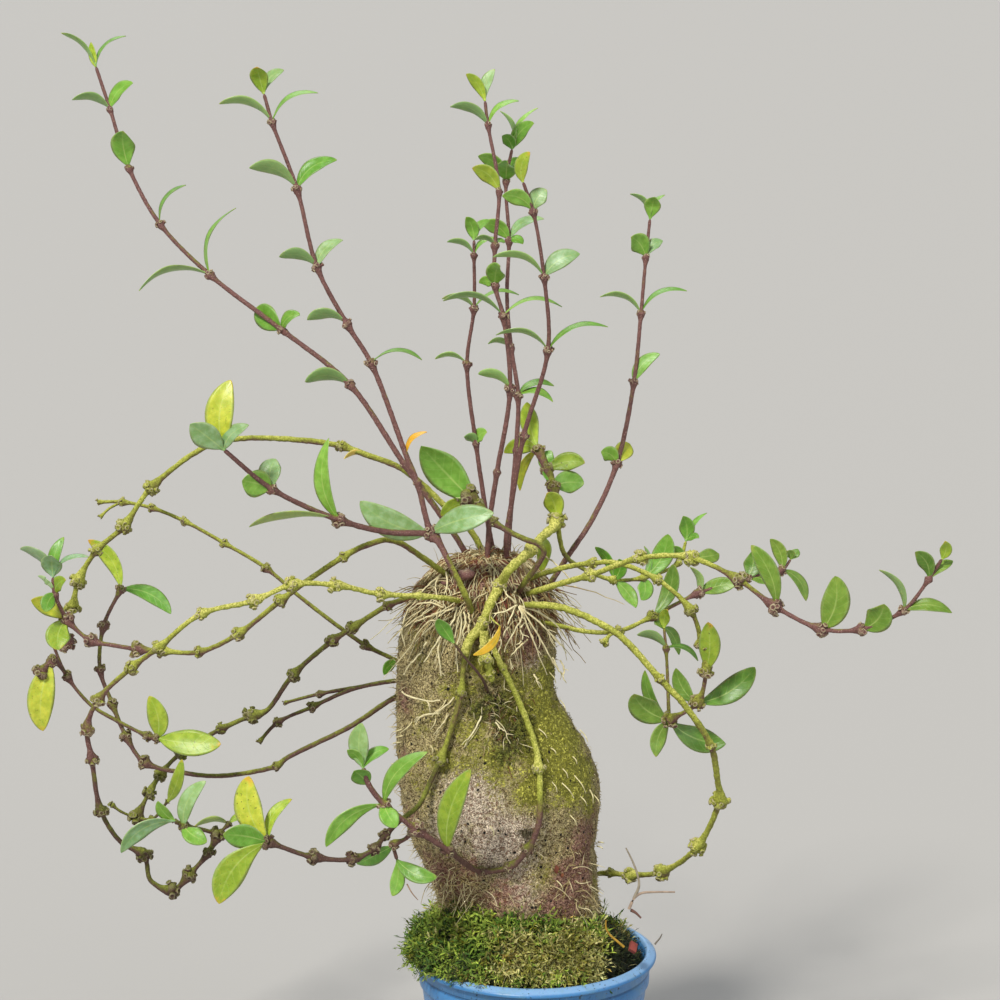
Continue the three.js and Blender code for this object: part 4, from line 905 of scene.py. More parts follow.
def pot_material():
    """Blue plastic: cloudy, with a painted highlight along the lip, lines of painted shadow and dirt under
    the lip and in the collar's groove, scratches, specks of dirt and a dull film.
    """
    paint = Paint("blue_plastic", 0.38, Subsurface_Weight=0.05, Subsurface_Scale=0.002)
    cloud, grime = paint.noise(26, 3), paint.noise(1.6, 5)
    blue = paint.mix(cloud, colour("#28639a"), colour("#5092cc"))
    height = paint.add("ShaderNodeSeparateXYZ", Vector=paint.place).outputs["Z"]
    # Painted highlight: a paler band along the top of the lip.
    blue = paint.mix(paint.rise(height, 0.1025, 0.1034) * 0.7, blue, colour("#92b9e0"))
    # Painted shadow, with some dirt: darker bands under the lip and in the collar's groove.
    for low, high in POT_LINES:
        line = paint.rise(height, low - LINE_BLUR, low) * paint.rise(height, high + LINE_BLUR, high)
        blue = paint.mix(line * 0.6, blue, colour("#244a72"))
    drawn_out = paint.add("ShaderNodeMapping", Vector=paint.place, Scale=(1, 1, 0.12)).outputs["Vector"]
    scratch = paint.add("ShaderNodeTexNoise", Vector=drawn_out, Scale=900.0, Detail=2.0).outputs["Fac"]
    marks = paint.rise(scratch, 0.62, 0.7) * 0.12
    blue = paint.mix(marks, blue, colour("#a9c8de"))
    foot = paint.rise(height, 0.04, 0.0) * 0.08
    collar = paint.rise(height, 0.08, 0.1) * 0.03
    specks = paint.rise(grime + foot + collar, 0.66, 0.71)
    blue = paint.mix(specks * 0.8, blue, colour("#2e3026"))
    film = paint.rise(paint.noise(7, 5), 0.5, 0.72) * 0.25
    blue = paint.mix(film, blue, colour("#6b8a80"))
    return paint.finish(blue, (cloud, 0.5), (scratch, 0.05), (specks, 0.15),
                        roughness=paint.noise(4, 4) * 0.3 + 0.22)


def soil_material():
    """Dark chunks of bark."""
    paint = Paint("bark_and_soil", 0.95)
    chunks, fine = paint.cells(4.5), paint.noise(1.2, 5)
    shade = paint.mix(paint.rise(chunks, 0.1, 0.7), colour("#5a4129"), colour("#241a12"))
    shade = paint.mix(fine * 0.6, shade, colour("#0f0b08"))
    return paint.finish(shade, (chunks, -1.6), (fine, 0.6))


# Leaves

# The two colours between which each shade of leaf varies.
LEAF_TINTS = {
    GREEN: ("#649d30", "#8fbe4c"), OLIVE: ("#5e8a2a", "#8aa83e"), BLUE: ("#86ab7d", "#b0d08e"),
    LIME: ("#95b030", "#b6ca40"), YELLOW: ("#c3ca34", "#dade50"), ORANGE: ("#efa412", "#ffcc38"),
}
LEAF_ARCH = 0.12
LEAF_ARCH_TURNED = 0.1
LEAF_ROWS = 18
LEAF_COLUMNS = 9
LEAF_PETIOLE = 0.55
LEAF_THICKNESS = 0.22
LEAF_CUP = 0.18
LEAF_CROWDING = 1.35
FACE_UP_FROM = 35


def leaf_half_width(at, width, widest, bluntness):
    """Half the width of a leaf at a share of its length. It is widest where widest says."""
    body = max((at - 0.05) / 0.95, 0.0)
    bias = math.log(0.5) / math.log(widest)
    return LEAF_PETIOLE * (1 - at) + width / 2 * math.sin(math.pi * min(body, 1.0) ** bias) ** bluntness


def leaf_grid(sides, rows):
    """Faces of a closed sheet: a grid of top points and one of bottom points that share the edges."""
    ring = 2 * sides - 2
    faces = [ring_faces(rows, ring)]
    faces.append(np.array([[step, step + 1, ring - step - 1, ring - step] for step in range(1, sides - 2)]))
    last = (rows - 1) * ring
    faces.append(faces[1][:, ::-1] + last)
    caps = np.array([[0, 1, ring - 1], [sides - 2, sides - 1, sides]])
    return faces + [caps, caps[:, ::-1] + last]


LEAF_FACES = leaf_grid(LEAF_COLUMNS, LEAF_ROWS)


def add_leaf(gather, places, leaf, rng):
    """A thin closed blade: it leaves its joint steeply, cups along its rib and bends out to its tip."""
    joint, column, row, behind, width, turn, shade = leaf
    base = places[joint]
    tip = from_view(column, row, base.y + behind)
    chord = tip - base
    length = chord.length
    chord.normalize()
    stemward = (places[joint] - places[joint - 1] if joint else places[1] - places[0]).normalized()
    lean = stemward - chord * stemward.dot(chord)
    tilt = math.radians(turn)
    arch = (LEAF_ARCH + LEAF_ARCH_TURNED * math.sin(tilt)) * length * min(lean.length * 2, 1)
    bend = base.lerp(tip, 0.5) + lean.normalized() * arch * 2
    wave, phase = rng.uniform(0.02, 0.06), rng.uniform(0, 6)
    twist = rng.uniform(-0.3, 0.3)
    widest = rng.uniform(0.48, 0.6)
    bluntness = rng.uniform(0.58, 0.76)
    points, across_values, along_values, under_values = [], [], [], []
    for step in range(LEAF_ROWS):
        at = 1 - (1 - step / (LEAF_ROWS - 1)) ** LEAF_CROWDING
        middle = base.lerp(bend, at).lerp(bend.lerp(tip, at), at)
        along = ((bend - base) * (1 - at) + (tip - bend) * at).normalized()
        flat = along.cross(VIEW_AHEAD).normalized()
        facing = flat.cross(along).normalized()
        turned = tilt + twist * (at - 0.5)
        across = flat * math.cos(turned) + facing * math.sin(turned)
        face = across.cross(along).normalized()
        if face.dot(lean) > 0 and turn > FACE_UP_FROM:
            face = -face
        half = leaf_half_width(at, width, widest, bluntness)
        for side, order in ((1, range(LEAF_COLUMNS)), (-1, range(LEAF_COLUMNS - 2, 0, -1))):
            for index in order:
                u = index / (LEAF_COLUMNS - 1) * 2 - 1
                cup = LEAF_CUP * half * (abs(u) ** 1.4 - 0.35)
                ripple = wave * half * math.sin(phase + at * 11 + u * 2.5) * abs(u)
                rib = math.exp(-((u * half / 0.4) ** 2)) * (1 - at) ** 0.6
                thickness = LEAF_THICKNESS * (1 - u**4) + (0.3 * rib if side < 0 else -0.1 * rib)
                offset = -cup + ripple + side * thickness
                points.append(middle + across * u * half + face * offset)
                across_values.append(abs(u))
                along_values.append(at)
                under_values.append(float(side > 0))
    low, high = (colour(code) for code in LEAF_TINTS[shade])
    tint = low + (high - low) * rng.uniform()
    old = 1.0 if shade in (LIME, YELLOW) else 0.2
    gather.add(np.array(points), LEAF_FACES, tint=tint * rng.uniform(0.85, 1.12), across=across_values,
               along=along_values, under=under_values, flecks=old * rng.uniform(0.3, 1.0))


# Stems

RING_STEP = 0.9
BARK_SIDES = 11
BARK_SHARE = 0.86
KNOB_FROM = 2.4
ROUND = Vector((1, 1, 1))


def small_ball(subdivisions):
    """Points and faces of a ball one millimetre in radius."""
    ball = bmesh.new()
    bmesh.ops.create_icosphere(ball, subdivisions=subdivisions, radius=1)
    points = np.array([vertex.co for vertex in ball.verts])
    faces = np.array([[vertex.index for vertex in face.verts] for face in ball.faces])
    ball.free()
    return points, faces


BALL_POINTS, BALL_FACES = small_ball(2)


def shoot_line(places):
    """Points along a shoot, about a millimetre apart, and how far along each point and each joint is."""
    line, stops = [places[0]], [0]
    for span in range(len(places) - 1):
        steps = max(2, math.ceil((places[span + 1] - places[span]).length / RING_STEP))
        line += [curve_point(places, span + (step + 1) / steps) for step in range(steps)]
        stops.append(len(line) - 1)
    gaps = [(line[index + 1] - line[index]).length for index in range(len(line) - 1)]
    far = np.concatenate([[0], np.cumsum(gaps)])
    return line, far, far[stops]


def cup_form(sides, seed):
    """A scar of a flower: a stub with a flaring rim and a hollow. Points, faces and each point's crust."""
    rng = np.random.default_rng(seed)
    rings = [(0.5, -1.3, 0.1), (0.75, -0.3, 0.35), (1.0, 0.3, 1.0), (0.8, 0.55, 1.1), (0.45, 0.42, 0.2)]
    points, crust = [], []
    for radius, height, amount in rings:
        for side in range(sides):
            angle = side / sides * 2 * math.pi
            reach = radius * (1 + rng.uniform(-0.2, 0.2))
            lift = height + rng.uniform(-0.12, 0.12)
            points.append((reach * math.cos(angle), reach * math.sin(angle), lift))
            crust.append(amount)
    # The middle point's crust is below zero, which paints shade into the hollow.
    points.append((0, 0, 0.3))
    crust.append(-0.5)
    last = (len(rings) - 1) * sides
    side = np.arange(sides)
    cap = np.stack([last + side, last + (side + 1) % sides, np.full(sides, len(points) - 1)], axis=1)
    return np.array(points), [ring_faces(len(rings), sides), cap], np.array(crust)


CUP_FORMS = [cup_form(7, seed) for seed in range(4)]


def add_cups(gather, centre, along, swelling, algae, rng):
    """Scars all round a joint, standing out of its swelling."""
    count = int(round(3 + 4.2 * max(swelling - 1.6, 0)))
    along = np.array(along)
    helper = unit(np.cross(along, [0.31, 0.52, 0.79]))
    angle = np.arange(count) * 2.4 + rng.uniform(0, 6.3)
    lift = rng.uniform(-0.5, 0.75, count)
    out = np.cos(angle)[:, None] * helper + np.sin(angle)[:, None] * np.cross(along, helper)
    way = unit(out + along * lift[:, None])
    size = rng.uniform(0.22, 0.38, count) * (swelling + 0.6)
    stand = np.where(swelling >= KNOB_FROM, rng.uniform(0.72, 1.0, count), rng.uniform(0.66, 0.8, count))
    places = np.array(centre) + way * (swelling * stand)[:, None]
    for number, (points, faces, crust) in enumerate(CUP_FORMS):
        chosen = slice(number, None, len(CUP_FORMS))
        if not len(size[chosen]):
            continue
        ups = way[chosen] + rng.normal(0, 0.25, (len(size[chosen]), 3))
        moved, parts = copies(points, faces, frames_about(ups, angle[chosen]), places[chosen], size[chosen])
        bright = rng.uniform(0.5, 1.0, (len(size[chosen]), 1))
        values = np.where(crust > 0, crust * bright, crust)
        gather.add(moved, parts, algae=algae, crust=values.ravel())


def add_bark(gather, shoot, places, algae, rng):
    """A shoot's bark: it thickens below each joint, and is lumpy and crusted on it."""
    start_radius, tip_radius, joints, _ = shoot
    line, far, joint_far = shoot_line(places)
    share = far / far[-1]
    green = green_at(algae, share)
    radius = (start_radius + (tip_radius - start_radius) * share) * BARK_SHARE
    knot = np.zeros(len(line))
    flat = np.zeros((len(line), BARK_SIDES))
    around = np.arange(BARK_SIDES) / BARK_SIDES * 2 * math.pi
    for order, ((_, _, _, swelling), where) in enumerate(zip(joints, joint_far)):
        if not swelling:
            continue
        away = far - where
        reach = np.where(away < 0, 1.15, 0.5) * swelling
        near = np.exp(-((away / reach) ** 2))
        full = swelling * (0.82 if swelling >= KNOB_FROM else 0.95)
        radius = radius + np.maximum(full - radius, 0) * near
        closer = np.exp(-((away / (0.8 * swelling)) ** 2)) * min(swelling / 3, 1)
        knot = np.maximum(knot, closer)
        flat += closer[:, None] * 0.2 * np.cos(2 * (around - order * math.pi / 2 - 0.6))
    rounding = 0.8 if joints[-1][3] else 1.2
    radius = radius * np.sqrt(np.clip((far[-1] - far + 0.12) / rounding, 0.02, 1))
    across = Vector((1, 0, 0))
    points, spots = [], []
    for index, place in enumerate(line):
        after, before = line[min(index + 1, len(line) - 1)], line[max(index - 1, 0)]
        along = (after - before).normalized()
        across = (across - along * across.dot(along)).normalized()
        side = along.cross(across)
        patch = 0.45 * rough(place, 11, 4)
        warts = 1 + 2.2 * min(max(green[index] - 0.6, 0), 0.7)
        for step in range(BARK_SIDES):
            out = across * math.cos(around[step]) + side * math.sin(around[step])
            point = place + out * radius[index] * (1 + flat[index, step])
            lump = warts * (0.1 * rough(point, 2.6) + 0.08 * rough(point, 1.1))
            lump += 0.55 * knot[index] * rough(point, 1.4, 5)
            points.append(point + out * lump * min(radius[index], 2))
            spots.append(patch)
    gather.add(np.array(points), [ring_faces(len(line), BARK_SIDES)],
               algae=np.repeat(green, BARK_SIDES) + np.array(spots), crust=np.repeat(knot * 0.42, BARK_SIDES))
    for index, ((_, _, _, swelling), place) in enumerate(zip(joints, places)):
        if swelling:
            here = green[int(np.argmin(np.abs(far - joint_far[index])))]
            along = (places[min(index + 1, len(places) - 1)] - places[index - 1]).normalized()
            if swelling >= KNOB_FROM:
                add_knobs(gather, place, along, swelling, here, rng)
            add_cups(gather, place, along, swelling, here, rng)


def lumpy_ball(centre, stretch, size, *lumps):
    """The points of a ball that is stretched and has lumps, each given as height, width and seed."""
    shape = []
    for ball_point in BALL_POINTS:
        way = Vector(ball_point)
        lump = 1
        for height, width, seed in lumps:
            lump += height * rough(centre + way * size, width, seed)
        shape.append(centre + way * stretch * size * lump)
    return np.array(shape)


def add_knobs(gather, place, along, swelling, algae, rng):
    """Old flower stubs: round crusted knobs on the sides of a joint."""
    first = along.cross(Vector(rng.normal(0, 1, 3))).normalized()
    for side in (1, -1):
        out = (first * side + along * rng.uniform(-0.2, 0.5)).normalized()
        size = swelling * rng.uniform(0.45, 0.6)
        shape = lumpy_ball(place + out * swelling * 0.55, ROUND, size, (0.3, 1.2, 3), (0.12, 0.5, 7))
        outer = BALL_POINTS @ np.array(out)
        gather.add(shape, [BALL_FACES], algae=algae, crust=np.clip(0.25 + 0.4 * outer, 0, 1))


# The stems darkened low down with painted shade, with some darker old bark of their own: how dark each gets,
# and the heights in millimetres at which that starts and is full.
SHADED = {
    "stem_left_low": (0.85, 235, 195), "stem_left_inner": (0.8, 300, 255), "stem_left_thin": (0.5, 310, 265),
    "stem_left_pair": (0.7, 400, 300), "stem_left_under": (0.5, 300, 220), "stem_old_spike": (0.5, 400, 350),
    "stem_right_loop": (0.25, 190, 150), "stem_front_twig": (1.0, 400, 300),
    "stem_front_left": (0.9, 225, 205), "stem_front_curl": (0.7, 190, 175),
}


def stem_shade(name, points):
    """How dark a stem's bark is at points: painted shade that deepens lower down."""
    amount, top, low = SHADED.get(name, (0, 1, 0))
    return amount * np.clip((top - points[:, 2]) / (top - low), 0, 1)


def green_at(algae, share):
    """How much algae is on a stem at shares of its length."""
    start, end, begins, ends = algae
    return start + (end - start) * np.clip((share - begins) / (ends - begins), 0, 1)


def build_stems(bark, leaf):
    """Each stem as its bark and its leaves, which both stand for its node of the model."""
    for number, (name, shoots) in enumerate(STEMS.items()):
        rng = np.random.default_rng(100 + number)
        wood, leaves = Gather(), Gather()
        algae = ALGAE[name]
        main, far, _ = shoot_line(joint_places(shoots[0][2], shoots[0][0]))
        for order, shoot in enumerate(shoots):
            places = joint_places(shoot[2], shoot[0])
            nearest = int(np.argmin([(place - places[0]).length for place in main]))
            green = green_at(algae, far[nearest] / far[-1])
            add_bark(wood, shoot, places, (green, green, 0, 1) if order else algae, rng)
            for entry in shoot[3]:
                add_leaf(leaves, places, entry, rng)
        slot = "green_stem" if algae[0] >= GREEN_FROM else "brown_stem"
        wood.values["painted_shade"] = [stem_shade(name, np.concatenate(wood.points))]
        wood.build(f"{name}_bark", bark, slot, name)
        if leaves.count:
            leaves.build(f"{name}_leaves", leaf, slot, name)


# The swollen base, its spines and its roots

SKIN_SIDES = 270
SKIN_RINGS = 190
# Patches on the front of the base: column, row, reach in millimetres and strength.
ALGAE_PATCHES = [
    (545, 680, 13, 1.1), (540, 725, 20, 1.3), (572, 775, 17, 1.25), (500, 765, 13, 0.8), (470, 735, 14, 0.6),
    (487, 664, 9, 1.1), (460, 690, 12, 0.6), (562, 735, 16, 1.3), (530, 790, 11, 1.0), (425, 785, 10, 0.5),
    (520, 690, 12, 0.8), (545, 765, 15, 1.2), (443, 762, 9, 0.8), (470, 760, 9, 0.6), (430, 720, 12, 0.3),
    (590, 800, 9, 0.9), (594, 880, 6, 0.5), (545, 870, 9, 0.35), (420, 640, 16, 0.25), (568, 745, 12, 1.0),
]
PURPLE_PATCHES = [
    (585, 840, 13, 1.0), (575, 880, 16, 1.1), (445, 880, 15, 1.1), (500, 905, 18, 0.6), (530, 640, 12, 0.9),
    (497, 625, 12, 1.1), (404, 700, 8, 0.7), (405, 760, 8, 0.6), (592, 815, 9, 0.7), (470, 580, 14, 1.1),
    (540, 600, 12, 1.0), (412, 820, 9, 0.7), (455, 610, 10, 0.6), (505, 580, 14, 1.1), (560, 910, 13, 1.1),
    (470, 870, 9, 0.7),
]
MOSS_PATCHES = [
    (494, 704, 8, 0.9), (512, 736, 8, 1.0), (503, 756, 5, 0.6), (478, 712, 5, 0.6), (522, 722, 6, 0.7),
]
WARM_PATCHES = [
    (470, 800, 20, 1.0), (500, 840, 20, 1.1), (450, 830, 14, 0.9), (530, 830, 12, 0.6), (515, 860, 14, 0.9),
    (535, 663, 9, 0.8), (520, 895, 14, 0.7),
]


def patch_strength(points, patches, seed, share):
    """How strongly patches show at points. Behind, where the view doesn't reach, noise spreads them."""
    strength = np.zeros(len(points))
    for column, row, reach, amount in patches:
        centre = np.array(on_base(column, row))
        away = np.linalg.norm(points - centre, axis=1)
        strength = np.maximum(strength, amount * np.exp(-((away / reach) ** 2)))
    behind = np.clip(points[:, 1] / 18, 0, 1)
    clouds = np.array([rough(point, 24, seed) + 0.6 * rough(point, 9, seed) for point in points])
    return strength + behind * np.clip(clouds * 0.8 + share, 0, 0.55)


# Hollows and bulges of the front: column, row, reach and how far out they bring the skin.
SKIN_FORMS = [
    (507, 722, 8, -2.6), (516, 748, 6, -1.5), (480, 700, 7, -1.0), (470, 740, 13, 0.7), (568, 770, 14, 1.2),
    (545, 640, 11, 0.9), (424, 640, 12, 0.9), (494, 826, 18, 0.8), (556, 850, 7, -1.5), (528, 640, 5, -1.3),
    (456, 880, 9, -1.4), (585, 880, 8, 1.2), (520, 890, 9, 1.0), (440, 790, 8, -1.0),
]
SKIN_CENTRES = [(on_base(column, row), reach, height) for column, row, reach, height in SKIN_FORMS]


def skin_offset(point):
    """How far the skin stands out of the plain form of the base."""
    away = 0.0
    for centre, reach, height in SKIN_CENTRES:
        if point.y < 0 and abs(point.z - centre.z) < 2 * reach:
            away += height * math.exp(-(((point - centre).length / reach) ** 2))
    return (away + 1.1 * rough(point, 15, 1) + 0.9 * rough(point, 6.5, 2) + 0.5 * rough(point, 2.8, 3)
            + 0.25 * rough(point, 1.4, 4))


def build_base(skin):
    """The skin of the base, closed over its crown and under its foot."""
    points = []
    for ring in range(SKIN_RINGS + 1):
        height = BASE_BOTTOM + (BASE_TOP - BASE_BOTTOM) * ring / SKIN_RINGS
        for side in range(SKIN_SIDES):
            angle = side / SKIN_SIDES * 2 * math.pi
            point = base_surface(height, angle)
            points.append(point + base_out(height, angle) * skin_offset(point))
    crown = Vector((outline_at(BASE_TOP)[0], 0, BASE_TOP))
    rim = points[-SKIN_SIDES:]
    for share in (0.75, 0.45, 0.15):
        for point in rim:
            place = crown.lerp(point, share)
            place.z = BASE_TOP + 2.5 * (1 - share**2) + 0.8 * rough(place, 3)
            points.append(place)
    points = np.array(points)
    rings = SKIN_RINGS + 4
    foot = np.arange(SKIN_SIDES)
    top = foot + (rings - 1) * SKIN_SIDES
    centre = len(points)
    points = np.vstack([points, points[top].mean(axis=0), [crown.x, 0, BASE_BOTTOM]])
    lid = np.stack([top, np.roll(top, -1), np.full(SKIN_SIDES, centre)], axis=1)
    floor = np.stack([np.roll(foot, -1), foot, np.full(SKIN_SIDES, centre + 1)], axis=1)
    gather = Gather()
    gather.add(points, [ring_faces(rings, SKIN_SIDES), lid, floor],
               algae=patch_strength(points, ALGAE_PATCHES, 11, 0.3),
               purple=patch_strength(points, PURPLE_PATCHES, 23, 0.0),
               moss=patch_strength(points, MOSS_PATCHES, 37, -0.5),
               warm=patch_strength(points, WARM_PATCHES, 51, -0.25))
    gather.build("base_skin", skin, "caudex_bark", "swollen_base")


GOLDEN_ANGLE = math.pi * (3 - math.sqrt(5))
FUZZ_FIBRES = 8400
FUZZ_LOW, FUZZ_HIGH = 113, 303
SPINE_TRIES = 3600
SPINE_LOW, SPINE_HIGH = 112, 290
LONG_SPINES_HEIGHT = 66
HOLLOW_HAIRS = 90
WAVY_HAIRS = 230


def curled(start, way, length, points, curl, rng):
    """A wandering line from a start: it sets out along way, and bends downwards by curl."""
    line = [start]
    way = way.normalized()
    wander = Vector(rng.normal(0, 1, 3)) * 0.35
    for _ in range(points - 1):
        way = way + Vector((0, 0, -curl)) / points + wander / points + Vector(rng.normal(0, 0.12, 3))
        way.normalize()
        line.append(line[-1] + way * length / (points - 1))
    return line


def wavy(start, way, length, count, rng):
    """A hair with waves that sags towards its end."""
    way = way.normalized()
    side = way.cross(Vector(rng.normal(0, 1, 3))).normalized()
    height, turns, phase = length * rng.uniform(0.05, 0.16), rng.uniform(2.5, 7), rng.uniform(0, 6)
    sag = Vector((0, 0, -length * rng.uniform(0, 0.6)))
    line = []
    for share in np.linspace(0, 1, count):
        swing = height * (math.sin(phase + turns * share) - math.sin(phase))
        line.append(start + way * length * share + side * swing + sag * share**2)
    return line


def build_fuzz(material):
    """Short fibres that lie all over the skin, tinted by what grows or shows there."""
    rng = np.random.default_rng(8)
    starts, ways = [], []
    for index in range(FUZZ_FIBRES):
        height = FUZZ_LOW + (FUZZ_HIGH - FUZZ_LOW) * (index + rng.uniform()) / FUZZ_FIBRES
        angle = index * GOLDEN_ANGLE
        surface, out = base_surface(height, angle), base_out(height, angle)
        starts.append(surface + out * (skin_offset(surface) - 0.1))
        lie = Vector(rng.normal(0, 1, 3))
        lie -= out * lie.dot(out)
        ways.append(lie.normalized() + out * rng.uniform(0.0, 0.9))
    places = np.array(starts)
    tint = np.broadcast_to(colour("#d6c58c"), (FUZZ_FIBRES, 3))
    for patches, seed, share_behind, code in (
        (WARM_PATCHES, 51, -0.25, "#f4e4c8"), (PURPLE_PATCHES, 23, 0.0, "#a87b64"),
        (ALGAE_PATCHES, 11, 0.2, "#b3ad3c"), (MOSS_PATCHES, 37, -0.5, "#4c501e"),
    ):
        field = patch_strength(places, patches, seed, share_behind)
        share = np.clip(field * 1.7 - 0.15 + rng.normal(0, 0.25, FUZZ_FIBRES), 0, 1)[:, None]
        tint = tint * (1 - share) + colour(code) * share
    tint = tint * rng.uniform(0.45, 1.1, (FUZZ_FIBRES, 1))
    lines = [curled(start, way, rng.uniform(0.8, 2.3), 3, rng.uniform(-0.5, 2.5), rng)
             for start, way in zip(starts, ways)]
    thick = rng.uniform(0.14, 0.27, FUZZ_FIBRES)
    gather = Gather()
    gather.add_tubes(lines, np.stack([thick, thick * 0.9, thick * 0.3], axis=1), np.repeat(tint, 3, axis=0))
    gather.build("base_fuzz", material, "caudex_bark")


# Long hairs on the base's front: start and end column and row.
LONG_HAIRS = [
    (552, 782, 557, 792), (562, 783, 574, 798), (574, 775, 586, 793), (590, 790, 593, 803),
    (562, 768, 568, 778), (572, 756, 577, 764), (580, 796, 587, 806), (539, 729, 547, 738),
    (551, 748, 556, 754), (594, 795, 600, 806), (598, 842, 604, 843), (597, 846, 603, 849),
    (556, 880, 563, 890), (580, 730, 588, 742), (490, 826, 494, 836), (549, 672, 556, 683),
    (404, 728, 393, 732), (402, 742, 393, 743), (404, 735, 396, 737), (400, 762, 391, 764),
    (397, 775, 383, 782), (436, 718, 430, 730), (431, 746, 432, 754), (496, 720, 506, 732),
    (481, 722, 465, 746), (448, 712, 439, 728), (446, 700, 436, 712), (412, 722, 400, 733),
    (560, 700, 566, 712), (570, 815, 577, 826),
]


def build_spines(material):
    """Short spines all over the base: denser and longer low down, and paler towards their tips."""
    rng = np.random.default_rng(5)
    straw, brown, pale = colour("#b5a066"), colour("#5e3a2a"), colour("#f3e8b8")
    lines, radii, tints = [], [], []

    def grow(start, way, length, droop, thick, bright=1.0):
        """Keeps one spine that starts at a place and goes off one way."""
        lines.append(curled(start, way, length, 6, droop, rng))
        radii.append(thick * np.array([1, 0.95, 0.85, 0.7, 0.5, 0.2]))
        root, end = brown + (straw - brown) * rng.uniform(), straw + (pale - straw) * rng.uniform()
        tints.append(np.array([root, root, (root + end) / 2, end, end, end]) * bright)

    for index in range(SPINE_TRIES):
        height = SPINE_LOW + (SPINE_HIGH - SPINE_LOW) * ((index + rng.uniform()) / SPINE_TRIES)
        angle = index * GOLDEN_ANGLE
        low = max(0.0, 1 - (height - SPINE_LOW) / LONG_SPINES_HEIGHT)
        edge = math.cos(angle) < -0.7
        if rng.uniform() > 0.22 + 0.78 * low + 0.3 * edge:
            continue
        length = rng.uniform(0.8, 2.8) + low * rng.uniform(0, 2.5) + edge * rng.uniform(0, 5)
        way = base_out(height, angle) + Vector(rng.normal(0, 0.6 + 0.4 * low, 3))
        droop = rng.uniform(-2.6 * low - 0.6, 1.6 + 1.6 * low)
        thick = rng.uniform(0.15, 0.26) + 0.08 * low
        grow(base_surface(height, angle, -0.6), way, length + 0.8, droop, thick)
    for _ in range(HOLLOW_HAIRS):
        start = on_base(rng.normal(526, 6), rng.normal(829, 2), -0.3)
        way = Vector((rng.normal(0, 0.5), -0.8, rng.normal(-0.4, 0.4)))
        grow(start, way, rng.uniform(2, 4.5), 3, 0.2, 0.25)
    gather = Gather()
    gather.add_tubes(lines, radii, tints)
    lines = []
    for start_column, start_row, column, row in LONG_HAIRS:
        middle = ((start_column + column) / 2 + 1.5, (start_row + row) / 2, 2.5)
        lines.append(view_line([(start_column, start_row, 0.2), middle, (column, row, 2.0)], 8))
    shape = (len(lines), 8)
    radii = np.broadcast_to(np.linspace(0.4, 0.2, 8), shape)
    gather.add_tubes(lines, radii, np.broadcast_to(colour("#efe4ae"), (*shape, 3)), 4)
    lines, radii, tints = [], [], []
    for _ in range(WAVY_HAIRS):
        if rng.uniform() < 0.68:
            column, row = rng.normal(450, 18), rng.normal(884, 14)
        else:
            column, row = rng.normal(590, 15), rng.normal(880, 26)
        try:
            start = on_base(column, row, -0.4)
        except ValueError:
            continue
        way = Vector((rng.normal(0, 1.0), rng.normal(-0.8, 0.3), rng.normal(0.1, 0.8)))
        lines.append(wavy(start, way, rng.uniform(5, 13), 10, rng))
        radii.append(np.linspace(rng.uniform(0.28, 0.42), 0.12, 10))
        low = brown + (straw - brown) * rng.uniform()
        high = straw + (pale - straw) * rng.uniform()
        tints.append(low + (high - low) * np.linspace(0, 2, 10).clip(0, 1)[:, None])
    gather.add_tubes(lines, radii, tints)
    gather.build("base_spines", material, "caudex_bark")


